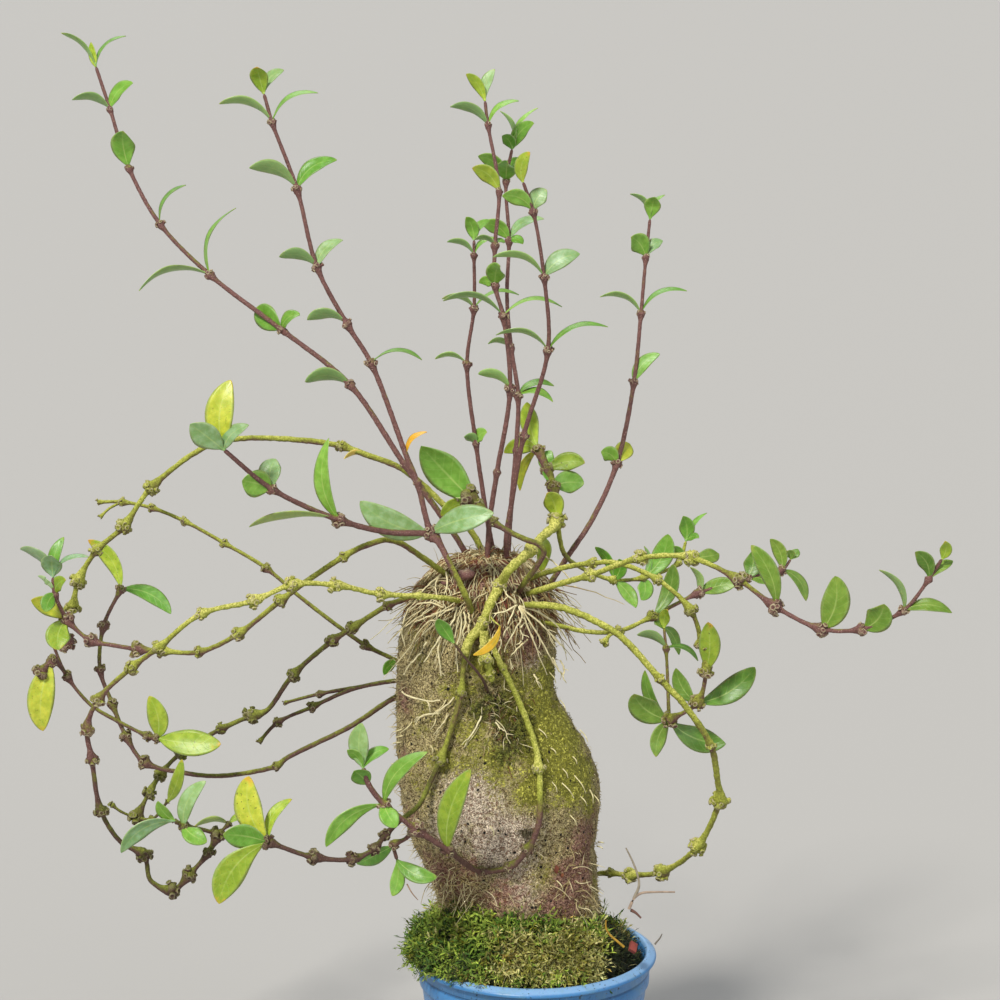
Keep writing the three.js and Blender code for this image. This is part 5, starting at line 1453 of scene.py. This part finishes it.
# Long pale roots on the front of the crown, as places in the view with how far they stand out.
FRONT_ROOTS = [
    [(519, 606, 3), (540, 613, 6), (556, 624, 7), (567, 640, 5)],
    [(519, 606, 3), (543, 626, 6), (557, 640, 6), (566, 653, 4)],
    [(520, 607, 3), (529, 630, 5), (538, 652, 5), (547, 675, 3)],
    [(520, 607, 3), (536, 632, 5), (549, 655, 6), (559, 672, 5)],
    [(518, 606, 3), (522, 616, 5), (512, 634, 5), (504, 652, 3)],
    [(517, 605, 3), (506, 611, 5), (496, 613, 4), (488, 614, 3)],
    [(516, 604, 3), (509, 622, 4), (503, 636, 4), (498, 655, 3)],
    [(528, 640, 3), (520, 646, 4), (512, 655, 4), (508, 662, 3)],
    [(417, 601, 1), (407, 612, 2), (402, 630, 3), (405, 647, 2)],
    [(442, 573, 2), (436, 583, 4), (436, 592, 4), (440, 603, 3)],
    [(446, 572, 2), (447, 586, 4), (443, 598, 4), (446, 610, 3)],
    [(457, 607, 2), (452, 622, 4), (438, 640, 4), (424, 662, 3)],
    [(457, 607, 2), (440, 612, 3), (426, 618, 3), (414, 622, 2)],
    [(462, 610, 2), (461, 630, 4), (456, 652, 4), (458, 672, 3)],
    [(441, 637, 2), (438, 650, 3), (440, 664, 3), (441, 676, 2)],
    [(427, 642, 2), (419, 655, 3), (410, 664, 3), (404, 674, 2)],
    [(402, 693, 1), (414, 698, 3), (428, 701, 3), (441, 700, 2)],
    [(455, 697, 2), (447, 705, 3), (440, 710, 3), (438, 716, 2)],
    [(440, 713, 2), (430, 714, 3), (420, 717, 3), (415, 722, 2)],
    [(449, 714, 2), (444, 722, 3), (440, 728, 3), (438, 733, 2)],
    [(481, 716, 2), (476, 728, 3), (468, 740, 3), (463, 749, 2)],
    [(495, 722, 2), (500, 728, 3), (505, 731, 3), (508, 735, 2)],
    [(560, 660, 1), (564, 668, 2), (563, 676, 3), (566, 683, 3)],
    [(443, 571, 2), (434, 580, 4), (425, 588, 5), (418, 597, 6)],
    [(445, 608, 2), (432, 603, 4), (419, 604, 4), (409, 611, 3)],
    [(452, 616, 2), (441, 621, 3), (431, 621, 3), (424, 626, 2)],
    [(553, 658, 1), (556, 665, 3), (559, 670, 3), (562, 674, 2)],
    [(534, 674, 1), (537, 680, 3), (540, 683, 3), (542, 689, 2)],
    [(544, 556, 4), (552, 561, 5), (561, 569, 5), (569, 579, 5)],
    [(521, 584, 4), (529, 590, 6), (534, 597, 6), (538, 603, 4)],
    [(464, 612, 3), (466, 622, 5), (463, 632, 5), (465, 643, 3)],
    [(468, 613, 3), (470, 622, 5), (468, 630, 5), (471, 637, 3)],
    [(516, 603, 4), (509, 597, 6), (505, 592, 6), (504, 586, 5)],
    [(516, 603, 4), (514, 595, 6), (516, 589, 6), (513, 584, 5)],
    [(526, 622, 3), (520, 629, 5), (523, 638, 5), (517, 645, 3)],
    [(534, 618, 3), (545, 628, 5), (551, 638, 6), (556, 645, 5)],
]


def view_line(places, count):
    """A smooth line through places in the view that stand out of the base by given amounts."""
    knots = []
    for column, row, proud in places:
        try:
            knots.append(on_base(column, row, proud))
        except ValueError:
            knots.append(from_view(column, row, -4))
    return [curve_point(knots, (len(knots) - 1) * step / (count - 1)) for step in range(count)]


# Stubs of old stems on the crown: column, row, depth and radius.
CROWN_KNOBS = [
    (467, 574, -24, 3.4), (447, 583, -16, 2.2), (526, 600, -26, 2.0), (488, 584, -20, 2.2),
    (458, 566, -6, 2.2), (520, 574, -10, 2.4), (480, 566, 2, 2.6), (505, 568, 8, 2.4), (540, 580, 2, 2.0),
    (436, 588, -6, 2.0), (490, 572, 14, 2.2), (465, 575, 14, 2.0),
]
# The stub of a thick stem on the base's front, as a shoot.
CROWN_STUB = [2.5, 1.9, [
    [484, 630, "skin", 0], [484, 646, "skin", 2.8], [486, 659, "skin", 3.6], [490, 673, "skin", 2.6],
    [492, 682, "skin", 0],
], []]


def build_knobs(material):
    """The crusted stubs of old stems on and below the crown."""
    rng = np.random.default_rng(41)
    gather = Gather()
    for column, row, depth, size in CROWN_KNOBS:
        centre = from_view(column, row, depth)
        stretch = Vector(rng.uniform(0.75, 1.2, 3))
        shape = lumpy_ball(centre, stretch, size, (0.55, 2.0, 3), (0.45, 0.9, 8))
        crust = 0.15 + 0.5 * np.clip(BALL_POINTS[:, 2], 0, 1)
        gather.add(shape, [BALL_FACES], algae=-0.3, crust=crust)
    add_bark(gather, CROWN_STUB, joint_places(CROWN_STUB[2], CROWN_STUB[0]), (1.4, 1.2, 0, 1), rng)
    gather.build("crown_knobs", material, "caudex_bark")


CROWN_HEART = (494, 578)
TUFT_ROOTS = 300
MAT_ROOTS = 760
CROWN_ROOTS = 90
HOLLOW_ROOTS = 110
TOP_FIBRES = 560


def tuft_line(rng, count):
    """A root that leaves the crown's front edge and runs down the face, in the view's columns and rows."""
    column, row = rng.uniform(424, 556), rng.uniform(584, 614)
    way = np.array([column - CROWN_HEART[0], 1.2 * (row - CROWN_HEART[1]) + rng.uniform(0, 30)])
    way = way / np.linalg.norm(way) + rng.normal(0, 0.35, 2)
    length = rng.uniform(12, 34) + 22 * rng.uniform() ** 3
    knots = []
    for step in range(4):
        share = step / 3
        spot = np.array([column, row]) + way * length * share + [0, 0.25 * length * share**2]
        spot = spot + rng.normal(0, 1.6, 2) * (step > 0)
        knots.append((spot[0], spot[1], rng.uniform(0.4, 3.6) * math.sin(math.pi * (0.15 + 0.75 * share))))
    return view_line(knots, count)


def build_roots(material):
    """The crown's tuft: long pale roots in front, a mat of finer ones all round, and fibres on top."""
    rng = np.random.default_rng(31)
    cream, tan, rust = colour("#fbf0c0"), colour("#b39a5c"), colour("#7a3826")
    gather = Gather()

    def tone():
        """The colours of a root at its start and at its tip: mostly straw, some pale and some rusty."""
        kind = rng.uniform()
        if kind < 0.35:
            return tan + (cream - tan) * 0.5, cream
        if kind < 0.6:
            return rust, rust + (tan - rust) * rng.uniform()
        return rust + (tan - rust) * rng.uniform(), tan + (cream - tan) * rng.uniform(0, 1.0)

    fade = np.linspace(0, 1, 12)
    lines, radii, tints = [], [], []
    for places in FRONT_ROOTS:
        line = [point + Vector(rng.normal(0, 0.16, 3)) for point in view_line(places, 12)]
        lines.append(line)
        radii.append(0.54 - 0.26 * fade)
        base = tan + (cream - tan) * rng.uniform(0.5, 1.0)
        tints.append([base + (cream - base) * share for share in fade])
        for _ in range(2):
            at = int(rng.integers(4, 10))
            way = line[at] - line[at - 2] + Vector(rng.normal(0, 1.2, 3))
            lines.append(curled(line[at], way, rng.uniform(3, 8), 12, 0.8, rng))
            radii.append(0.26 - 0.12 * fade)
            tints.append([base + (cream - base) * share for share in fade])
    gather.add_tubes(lines, radii, tints, 4)

    fade = np.linspace(0, 1, 8)
    lines, radii, tints = [], [], []

    def keep(line, thin, thick, taper=0.6, quickness=1.6):
        """Keeps a root, with its radii, and with tints that reach the tip's before the tip."""
        lines.append(line)
        radii.append(rng.uniform(thin, thick) * (1 - taper * fade))
        low, high = tone()
        tints.append([low + (high - low) * min(share * quickness, 1) for share in fade])

    for _ in range(TUFT_ROOTS):
        keep([point + Vector(rng.normal(0, 0.2, 3)) for point in tuft_line(rng, 8)], 0.24, 0.44, taper=0.55)
    for _ in range(MAT_ROOTS):
        angle = rng.uniform(0, 2 * math.pi)
        front = 0.5 - 0.5 * math.sin(angle + 0.5)
        height = min(309 - (14 + 20 * front) * rng.uniform() ** 1.3, BASE_TOP - 1)
        length = rng.uniform(3, 9 + 4 * front) + 12 * front * rng.uniform() ** 3
        way = base_out(height, angle) * rng.uniform(0.3, 1.6) + Vector(rng.normal(0, 1.2, 3))
        line = curled(base_surface(height, angle, -0.4), way, length, 8, rng.uniform(1.0, 4.0), rng)
        keep([keep_outside(point, rng.uniform(0.3, 1.6)) for point in line], 0.2, 0.5)
    for _ in range(CROWN_ROOTS):
        start = Vector((rng.normal(-16, 6), rng.normal(0, 7), BASE_TOP - 2))
        way = Vector((rng.normal(0, 0.6), rng.normal(-0.3, 0.6), 1.4))
        keep(curled(start, way, rng.uniform(5, 14), 8, rng.uniform(3, 7), rng), 0.2, 0.4)
    for _ in range(HOLLOW_ROOTS):
        start = on_base(rng.normal(501, 13), rng.normal(716, 24), -0.3)
        way = Vector((rng.normal(0, 1), rng.normal(-0.6, 0.4), rng.normal(0, 1)))
        keep(curled(start, way, rng.uniform(3, 9), 8, rng.uniform(-2, 5), rng), 0.18, 0.36, quickness=1.4)
    middle = outline_at(BASE_TOP)[0]
    for _ in range(TOP_FIBRES):
        angle, reach = rng.uniform(0, 2 * math.pi), 17 * math.sqrt(rng.uniform())
        start = Vector((middle + reach * math.cos(angle), reach * math.sin(angle) * 0.9, BASE_TOP + 1.5))
        start.z -= 0.02 * reach**2
        way = Vector((0.5 * math.cos(angle), 0.5 * math.sin(angle), rng.uniform(0.0, 1.2)))
        way += Vector(rng.normal(0, 1.1, 3))
        keep(curled(start, way, rng.uniform(4, 14), 8, rng.uniform(2, 7), rng), 0.2, 0.5, quickness=1.4)
    gather.add_tubes(lines, radii, tints)
    gather.build("crown_roots", material, "caudex_bark")


def keep_outside(point, spare):
    """A point moved out of the base, if it lies inside it."""
    if point.z >= BASE_TOP or point.z <= BASE_BOTTOM:
        return point
    middle = outline_at(point.z)[0]
    angle = math.atan2(point.y / BASE_DEPTH_RATIO, point.x - middle)
    surface = base_surface(point.z, angle, spare)
    if math.hypot(point.x - middle, point.y) < math.hypot(surface.x - middle, surface.y):
        return surface
    return point


# The moss

MOSS_REACH = 51
MOSS_SPILL = 12
MOSS_SPILL_AT = -2.95
MOSS_SINK = 6
MOSS_SINK_AT = 0.15
MOSS_LOW = 9
MOSS_HEAP = 27
MOSS_HEAP_AT = -2.1
MOSS_INNER = 20
MOSS_TRIES = 60000
MOSS_FORMS = 4
BED_STEPS, BED_RINGS = 120, 16


def moss_reach(angle):
    """How far from the pot's axis the moss reaches. It spills over the rim at one side."""
    spill = max(math.cos(angle - MOSS_SPILL_AT), 0)
    return MOSS_REACH + MOSS_SPILL * spill**1.6 + math.cos(5 * angle)


def moss_rise(angle, inward):
    """How high the moss stands over the rim. It is heaped at one side."""
    heap = 0.5 + 0.5 * math.cos(angle - MOSS_HEAP_AT)
    crest = MOSS_LOW + MOSS_HEAP * heap**1.6 + 2 * math.cos(3 * angle + 1)
    return crest * math.sin(inward * math.pi * 0.5) ** 0.8


def moss_surface(angle, inward):
    """A point of the moss: inward runs from 0 at its edge to 1 near the middle."""
    radius = moss_reach(angle) + (MOSS_INNER - moss_reach(angle)) * inward
    x, y = radius * math.cos(angle), radius * math.sin(angle)
    height = POT_HEIGHT + 0.2 + moss_rise(angle, inward)
    sink = MOSS_SINK * max(math.cos(angle - MOSS_SINK_AT), 0) ** 2 * (1 - inward) ** 2
    height -= sink
    cushion = 3.2 * rough((x, y, height), 10, 9) + 2.4 * rough((x, y, height), 4.5, 12)
    return Vector((x, y, height + cushion * min(1, 4 * inward)))


def moss_shoot(leaflets, spread, bend, droop, seed):
    """One shoot a millimetre tall: a bent axis with narrow leaflets round it. Points and faces."""
    rng = np.random.default_rng(seed)

    def axis(share):
        """The place on the shoot's axis at a share of its length."""
        return np.array([bend * share**2, 0, share * (1 - 0.2 * bend * share)])

    corners = np.array([[1, 0, 0], [-0.5, 0.87, 0], [-0.5, -0.87, 0]])
    points = [*(corners * 0.03), *(corners * 0.055 + axis(0.6)), axis(1.02)]
    faces = [[0, 1, 4], [0, 4, 3], [1, 2, 5], [1, 5, 4], [2, 0, 3], [2, 3, 5]]
    faces += [[3, 4, 6], [4, 5, 6], [5, 3, 6]]
    for index in range(leaflets):
        share = (index + 0.6) / leaflets
        angle = index * 2.4 + rng.uniform(-0.4, 0.4)
        out = np.array([math.cos(angle), math.sin(angle), 0])
        side = np.array([-math.sin(angle), math.cos(angle), 0])
        length = spread * (0.75 + 0.5 * math.sin(math.pi * share)) * rng.uniform(0.75, 1.2)
        root = axis(0.1 + 0.9 * share)
        belly = root + out * length * 0.5 + [0, 0, length * 0.4]
        tip = root + out * length + [0, 0, length * (0.7 - droop)]
        start = len(points)
        points += [root, belly + side * length * 0.14, tip, belly - side * length * 0.14]
        faces += [[start, start + 1, start + 3], [start + 1, start + 2, start + 3]]
    return np.array(points), [np.array(faces)]


def shoot_tints(roots, tips, heights):
    """Colours for copies of a shoot, from the root's to the tip's by height in the form; the dark roots are
    partly painted shade.
    """
    share = np.clip(heights, 0, 1)[None, :, None]
    return (roots[:, None] * (1 - share) + tips[:, None] * share).reshape(-1, 3)


# The kinds of moss: how many shoots, the leaflets on each, their spread, bend and droop, the ranges of colour
# at the root, whose near black is partly painted shade, and at the tip, and the range of length.
MOSS_KINDS = {
    "moss_green": (2850, 10, 0.3, 0.8, 0.1, ("#0c1404", "#22360a"), ("#5c9410", "#cbdd55"), (6.0, 13.0)),
    "moss_pale": (2150, 9, 0.34, 0.8, 0.2, ("#140f05", "#54421a"), ("#aaa824", "#fff7a4"), (5.5, 11.5)),
    "moss_dark": (1400, 9, 0.28, 0.6, 0.1, ("#040703", "#0c1108"), ("#142009", "#525f24"), (4.0, 8.0)),
}


def moss_kind(place):
    """Green at the left, pale in the front middle and dark at the right. Mixed behind."""
    drift = 8 * rough(place, 14, 2) + 5 * rough(place, 5, 4)
    if place.y > 15:
        cloud = rough(place, 22, 6)
        return "moss_green" if cloud > -0.05 else "moss_dark" if cloud < -0.3 else "moss_pale"
    x = place.x + drift
    if x > 31 or (x > 20 and place.y > -20):
        return "moss_dark"
    sprig = rough(place, 5, 8)
    if x > 0.9 * (place.y + 35) - 14 and place.z < 125 + drift:
        on_rim = math.hypot(place.x, place.y) > 50
        return "moss_green" if sprig > (0.05 if on_rim else 0.3) else "moss_pale"
    return "moss_pale" if sprig < -0.45 else "moss_green"


def build_moss(material):
    """The shoots of each kind, the dark bed of painted shade under them and the moss on the base."""
    rng = np.random.default_rng(77)
    wanted = {kind: [] for kind in MOSS_KINDS}
    middle, half = outline_at(POT_HEIGHT + 10)
    for _ in range(MOSS_TRIES):
        angle, inward = rng.uniform(0, 2 * math.pi), rng.uniform() ** 1.25
        place = moss_surface(angle, inward)
        kind = moss_kind(place)
        inside = ((place.x - middle) / (half - 1)) ** 2 + (place.y / (half * BASE_DEPTH_RATIO - 1)) ** 2 < 1
        if inside or len(wanted[kind]) >= MOSS_KINDS[kind][0]:
            continue
        step_in = moss_surface(angle, min(inward + 0.06, 1)) - moss_surface(angle, max(inward - 0.06, 0))
        step_on = moss_surface(angle + 0.05, inward) - moss_surface(angle - 0.05, inward)
        up = step_on.cross(step_in)
        up = up if up.z > 0 else -up
        edge = Vector((math.cos(angle), math.sin(angle), -0.5)) * max(0.0, 0.15 - inward) * 7
        size = 0.7 + 0.3 * min(inward * 6, 1)
        wanted[kind].append((place, up.normalized() + edge + Vector((0, 0, 0.3)), size))
    for number, kind in enumerate(MOSS_KINDS):
        _, leaflets, spread, bend, droop, roots, tips, lengths = MOSS_KINDS[kind]
        gather = Gather()
        for form in range(MOSS_FORMS):
            bent = bend * (0.5 + 0.35 * form)
            points, faces = moss_shoot(leaflets, spread, bent, droop, 10 * number + form)
            chosen = wanted[kind][form::MOSS_FORMS]
            places = np.array([place for place, _, _ in chosen])
            ups = np.array([up for _, up, _ in chosen]) + rng.normal(0, 0.85, (len(chosen), 3))
            sizes = rng.uniform(*lengths, len(chosen)) * np.array([size for _, _, size in chosen])
            frames = frames_about(ups, rng.uniform(0, 6.3, len(chosen)))
            places = places - unit(ups) * sizes[:, None] * 0.45
            moved, parts = copies(points, faces, frames, places, sizes)
            low, high = (np.array([colour(code) for code in pair]) for pair in (roots, tips))
            clump = np.array([[rough(place, 7, 31) + 0.7 * rough(place, 3, 33)] for place in places])
            pick = np.clip(0.42 + 0.8 * clump + rng.normal(0, 0.25, clump.shape), 0, 1)
            tip = (high[0] + (high[1] - high[0]) * pick) * np.clip(0.85 + 0.6 * clump, 0.3, 1.2)
            old = np.array([[rough(place, 7, 21)] for place in places]) + rng.normal(0, 0.25, clump.shape)
            tip = np.where(old > 0.55, tip * colour("#d0b890"), tip)
            # Painted shade with the shoots' own darker bases: each shoot darkens down towards its root.
            tints = shoot_tints(low[0] + (low[1] - low[0]) * pick, tip, points[:, 2] ** 1.5)
            gather.add(moved, parts, tint=np.clip(tints, 0, 1))
        gather.build(kind, material, "moss", "moss")
    build_moss_shade_bed(material)
    build_patch_moss(material, rng)


def build_moss_shade_bed(material):
    """A dark sheet of painted shade under the shoots, for the ground and the gaps between them."""
    points, tints = [], []
    for ring in range(BED_RINGS):
        for step in range(BED_STEPS):
            angle = step / BED_STEPS * 2 * math.pi
            point = moss_surface(angle, max(ring - 1, 0) / (BED_RINGS - 2))
            if ring == 0:
                point = Vector((point.x * 0.93, point.y * 0.93, POT_HEIGHT - 1.5))
            points.append(point - Vector((0, 0, 0.4 - 0.9 * rough(point, 3, 8))))
            # Painted shade: a dark olive sheet that shows in the gaps between the shoots.
            tints.append(colour("#2a3312") * (1 + 0.5 * rough(point, 5, 5)))
    gather = Gather()
    gather.add(np.array(points), [ring_faces(BED_RINGS, BED_STEPS)], tint=np.array(tints))
    gather.build("moss_bed", material, "moss", "moss")


def build_patch_moss(material, rng):
    """Short dark moss and liverwort on the front of the base, and on a few spots behind."""
    points, faces = moss_shoot(9, 0.45, 0.3, 0.3, 99)
    places, ups = [], []
    for column, row, reach, amount in MOSS_PATCHES:
        for _ in range(int(110 * amount)):
            shift = rng.normal(0, reach * 1.3, 2)
            place = on_base(column + shift[0], row + shift[1], 0.0)
            places.append(place)
            ups.append(Vector((rng.normal(0, 0.5), -1, rng.normal(0.3, 0.5))))
    for _ in range(300):
        angle, height = rng.uniform(0.2, 3.0), rng.uniform(130, 285)
        place = base_surface(height, angle)
        if rough(place, 26, 37) > 0.1:
            places.append(place)
            ups.append(base_out(height, angle) + Vector(rng.normal(0, 0.4, 3)))
    count = len(places)
    frames = frames_about(np.array(ups), rng.uniform(0, 6.3, count))
    moved, parts = copies(points, faces, frames, np.array(places), rng.uniform(1.2, 3.0, count))
    pick = rng.uniform(0, 1, (count, 1))
    # The near black roots are partly painted shade among the shoots.
    roots = np.broadcast_to(colour("#141a0c"), (count, 3))
    low, high = colour("#4c4a1a"), colour("#a3a63e")
    tips = low + (high - low) * pick
    gather = Gather()
    gather.add(moved, parts, tint=shoot_tints(roots, tips, points[:, 2]))
    gather.build("base_moss", material, "caudex_bark")


# Litter on the moss

LITTER_CHIPS = 90
LITTER_FIBRES = 420
# Three larger flakes: place, half sizes and colour.
FLAKES = [
    (from_view(632, 947, -34), (2.2, 3.0, 2.4), "#93443a"),
    (on_base(556, 869, 0.3), (1.2, 0.9, 1.8), "#743c28"),
    (on_base(562, 875, 0.3), (0.8, 0.9, 1.0), "#80492c"),
]
# Dry stalks and a forked root: columns, rows and depths along each, its radius at the start and its colour.
STALKS = [
    ([(624, 947, -34), (617, 941, -34), (610, 935, -34), (606, 928, -34), (606, 920, -34)],
     0.7, "#b8902e"),
    ([(629, 909, -12), (635, 897, -12), (642, 893, -12), (655, 892, -12), (675, 892, -12)],
     0.85, "#b09a86"),
    ([(634, 898, -12), (639, 886, -12), (637, 873, -12), (632, 860, -12), (626, 848, -12)],
     0.8, "#a59a86"),
    ([(631, 910, -12), (636, 913, -12), (641, 918, -12)], 0.9, "#7f5a4c"),
    ([(407, 884, -30), (412, 893, -30), (418, 900, -30)], 0.4, "#b08f74"),
    ([(655, 944, -30), (660, 938, -32), (662, 934, -34)], 0.5, "#8d8578"),
]


def build_litter(material):
    """Bark chips, flakes, dry stalks, a forked root and fibres that lie on the moss."""
    rng = np.random.default_rng(13)
    gather = Gather()
    chip, chip_faces = small_ball(1)
    chip = chip * np.array([1.0, 0.6, 0.28])
    count = LITTER_CHIPS
    angle, inward = rng.uniform(0, 2 * math.pi, count), rng.uniform(0.02, 0.75, count)
    places = np.array([moss_surface(a, i) for a, i in zip(angle, inward)]) + [0, 0, 1.2]
    frames = frames_about(rng.normal(0, 0.5, (count, 3)) + [0, 0, 1], angle)
    points, parts = copies(chip, [chip_faces], frames, places, rng.uniform(0.8, 2.6, count))
    shades = np.array([colour(code) for code in ("#3a2416", "#5c3a20", "#7c5a36", "#2a1a12")])
    gather.add(points, parts, tint=np.repeat(shades[rng.integers(0, 4, count)], len(chip), axis=0))
    corners = np.array([[x, y, z] for x in (-1, 1) for y in (-1, 0.6) for z in (-0.7, 1)]) * [1, 1, 0.5]
    sides = [[0, 1, 3, 2], [4, 6, 7, 5], [0, 4, 5, 1], [2, 3, 7, 6], [0, 2, 6, 4], [1, 5, 7, 3]]
    lying = frames_about(np.array([[0.5, -0.6, 0.7]]), np.array([0.8]))[0]
    flake = corners[sides].reshape(-1, 3) @ lying
    flake_faces = np.arange(len(flake)).reshape(-1, 4)
    for place, size, code in FLAKES:
        gather.add(flake * size + np.array(place), [flake_faces], tint=colour(code))
    for places, radius, code in STALKS:
        knots = [from_view(*place) for place in places]
        line = [curve_point(knots, (len(knots) - 1) * step / 15) for step in range(16)]
        gather.add_tubes([line], [np.linspace(radius, radius * 0.5, 16)], [colour(code)] * 16, 6)
    lines, radii, tints = [], [], []
    for _ in range(LITTER_FIBRES):
        place = moss_surface(rng.uniform(0, 2 * math.pi), rng.uniform(0.0, 0.9))
        way = Vector(rng.normal(0, 1, 3)) + Vector((0, 0, 0.6))
        lines.append(curled(place, way, rng.uniform(4, 11), 6, 0.9, rng))
        radii.append(np.linspace(0.16, 0.06, 6))
        tints.append([colour("#cdbf86") * rng.uniform(0.5, 1.05)] * 6)
    gather.add_tubes(lines, radii, tints)
    gather.build("litter", material, "moss")


# The pot and its soil

POT_SEGMENTS = 144
RIM_RADIUS = 61
COLLAR_RADIUS = 57.6
BODY_RADIUS = 56.2
FOOT_RADIUS = 44
DRAIN_HOLES = 6
DRAIN_RADIUS = 4
DRAIN_CIRCLE = 30
DRAIN_SIDES = 24
DRILL_BOTTOM, DRILL_TOP = -2, 5
POT_OUTLINE = [
    (0, 0.6), (20, 0.6), (24, 0.25), (34, 0.25), (40.5, 0.0), (42.8, 0.0), (43.6, 0.5), (FOOT_RADIUS, 1.6),
    (46.9, 22), (50.2, 44), (53.4, 66), (55.9, 85), (BODY_RADIUS, 87.6), (56.9, 88.3), (57.5, 88.9),
    (COLLAR_RADIUS, 90), (57.7, 94.6), (57.2, 95.1), (57.2, 95.7), (57.9, 96.2), (58.1, 100.2), (58.5, 100.8),
    (60.3, 100.9), (60.8, 101.2), (RIM_RADIUS, 101.9), (60.8, 102.6), (60.3, 103.1), (58.2, 104.6),
    (57.5, POT_HEIGHT), (56.9, POT_HEIGHT), (56.3, 104.7), (55.8, 103.8), (54.6, 87),
    (53.9, 84), (45.2, 22), (42.4, 3.4), (41, 1.8), (0, 1.8),
]


def drain_cutter(material):
    """Short round bars where the drain holes go."""
    drill = Gather()
    around = np.arange(DRAIN_SIDES) / DRAIN_SIDES * 2 * math.pi
    for hole in range(DRAIN_HOLES):
        turn = hole / DRAIN_HOLES * 2 * math.pi
        x, y = DRAIN_CIRCLE * math.cos(turn), DRAIN_CIRCLE * math.sin(turn)
        ring = [(x + DRAIN_RADIUS * math.cos(angle), y + DRAIN_RADIUS * math.sin(angle), height)
                for height in (DRILL_BOTTOM, DRILL_TOP) for angle in around]
        ends = [np.arange(DRAIN_SIDES)[None, ::-1], np.arange(DRAIN_SIDES, 2 * DRAIN_SIDES)[None]]
        drill.add(ring, [ring_faces(2, DRAIN_SIDES), *ends])
    return drill.build("drain_cutter", material, "pot_plastic")


def build_pot(material):
    """The pot's shell, turned on its axis and a little out of round, with its drain holes."""
    points = []
    for radius, height in POT_OUTLINE:
        for step in range(POT_SEGMENTS):
            angle = step / POT_SEGMENTS * 2 * math.pi
            wobble = 1 + 0.0022 * math.sin(3 * angle + 1) * height / POT_HEIGHT
            reach = max(radius, 0.01) * wobble
            points.append((reach * math.cos(angle), reach * math.sin(angle), height))
    gather = Gather()
    gather.add(points, [ring_faces(len(POT_OUTLINE), POT_SEGMENTS)])
    pot = gather.build("pot_shell", material, "pot_plastic", "pot")
    cutter = drain_cutter(material)
    cut = pot.modifiers.new("drains", "BOOLEAN")
    cut.object = cutter
    cut.solver = "EXACT"
    depsgraph = bpy.context.evaluated_depsgraph_get()
    cut_mesh = bpy.data.meshes.new_from_object(pot.evaluated_get(depsgraph))
    pot.modifiers.clear()
    pot.data = cut_mesh
    bpy.data.objects.remove(cutter)


def paint_soil(material):
    """The soil shows as the model made it, in its own material."""
    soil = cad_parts["soil"]
    soil.data.materials.clear()
    soil.data.materials.append(material)


# The stage

FLOOR_HALF = 40
SENSOR_WIDTH = 36
FAR_CLIP = 200


def sun_light(name, way, strength, spread, tint):
    """A soft far light that shines along way, spread over this many degrees."""
    light = bpy.data.lights.new(name, "SUN")
    light.energy = strength
    light.angle = math.radians(spread)
    light.color = tint
    lamp = bpy.data.objects.new(name, light)
    lamp.rotation_euler = Vector(way).to_track_quat("-Z", "Y").to_euler()
    bpy.context.scene.collection.objects.link(lamp)


def build_stage():
    """A plain floor, soft studio light and the camera of the front view."""
    scene = bpy.context.scene
    scene.view_settings.view_transform = "Standard"
    mesh = bpy.data.meshes.new("floor")
    half = FLOOR_HALF
    mesh.from_pydata([(-half, -half, 0), (half, -half, 0), (half, half, 0), (-half, half, 0)], [],
                     [(0, 1, 2, 3)])
    paint = Paint("floor", 0.9)
    mesh.materials.append(paint.finish(colour("#b4b2ae")))
    floor = bpy.data.objects.new("floor", mesh)
    scene.collection.objects.link(floor)
    world = bpy.data.worlds.new("studio")
    world.use_nodes = True
    background = world.node_tree.nodes["Background"]
    background.inputs["Color"].default_value = (*colour("#e9eef4"), 1)
    background.inputs["Strength"].default_value = 0.44
    scene.world = world
    sun_light("key", (0.45, 0.8, -1.0), 3.0, 9, (1.0, 0.97, 0.92))
    sun_light("fill", (-0.8, 0.7, -0.4), 0.55, 40, (0.95, 0.97, 1.0))
    sun_light("back", (0.3, -0.8, -0.9), 0.6, 30, (1.0, 1.0, 1.0))
    lens = bpy.data.cameras.new("photo")
    lens.sensor_width = SENSOR_WIDTH
    lens.lens = SENSOR_WIDTH * VIEW_DISTANCE / (VIEW_SIZE * VIEW_STEP)
    lens.clip_end = FAR_CLIP
    camera = bpy.data.objects.new("photo", lens)
    camera.location = EYE * MM
    camera.rotation_euler = (math.pi / 2 - VIEW_PITCH, 0, 0)
    scene.collection.objects.link(camera)
    scene.camera = camera


build_stage()
bark = bark_material()
build_stems(bark, leaf_material())
build_knobs(bark)
build_base(skin_material())
fibre = tinted_material("root_fibre", 2.5, 0.8, 0.3)
build_fuzz(fibre)
build_spines(fibre)
build_roots(fibre)
living = tinted_material("living_moss", 5.0, 0.75, 0.35, Subsurface_Weight=0.08, Subsurface_Scale=0.001)
build_moss(living)
build_litter(fibre)
build_pot(pot_material())
paint_soil(soil_material())
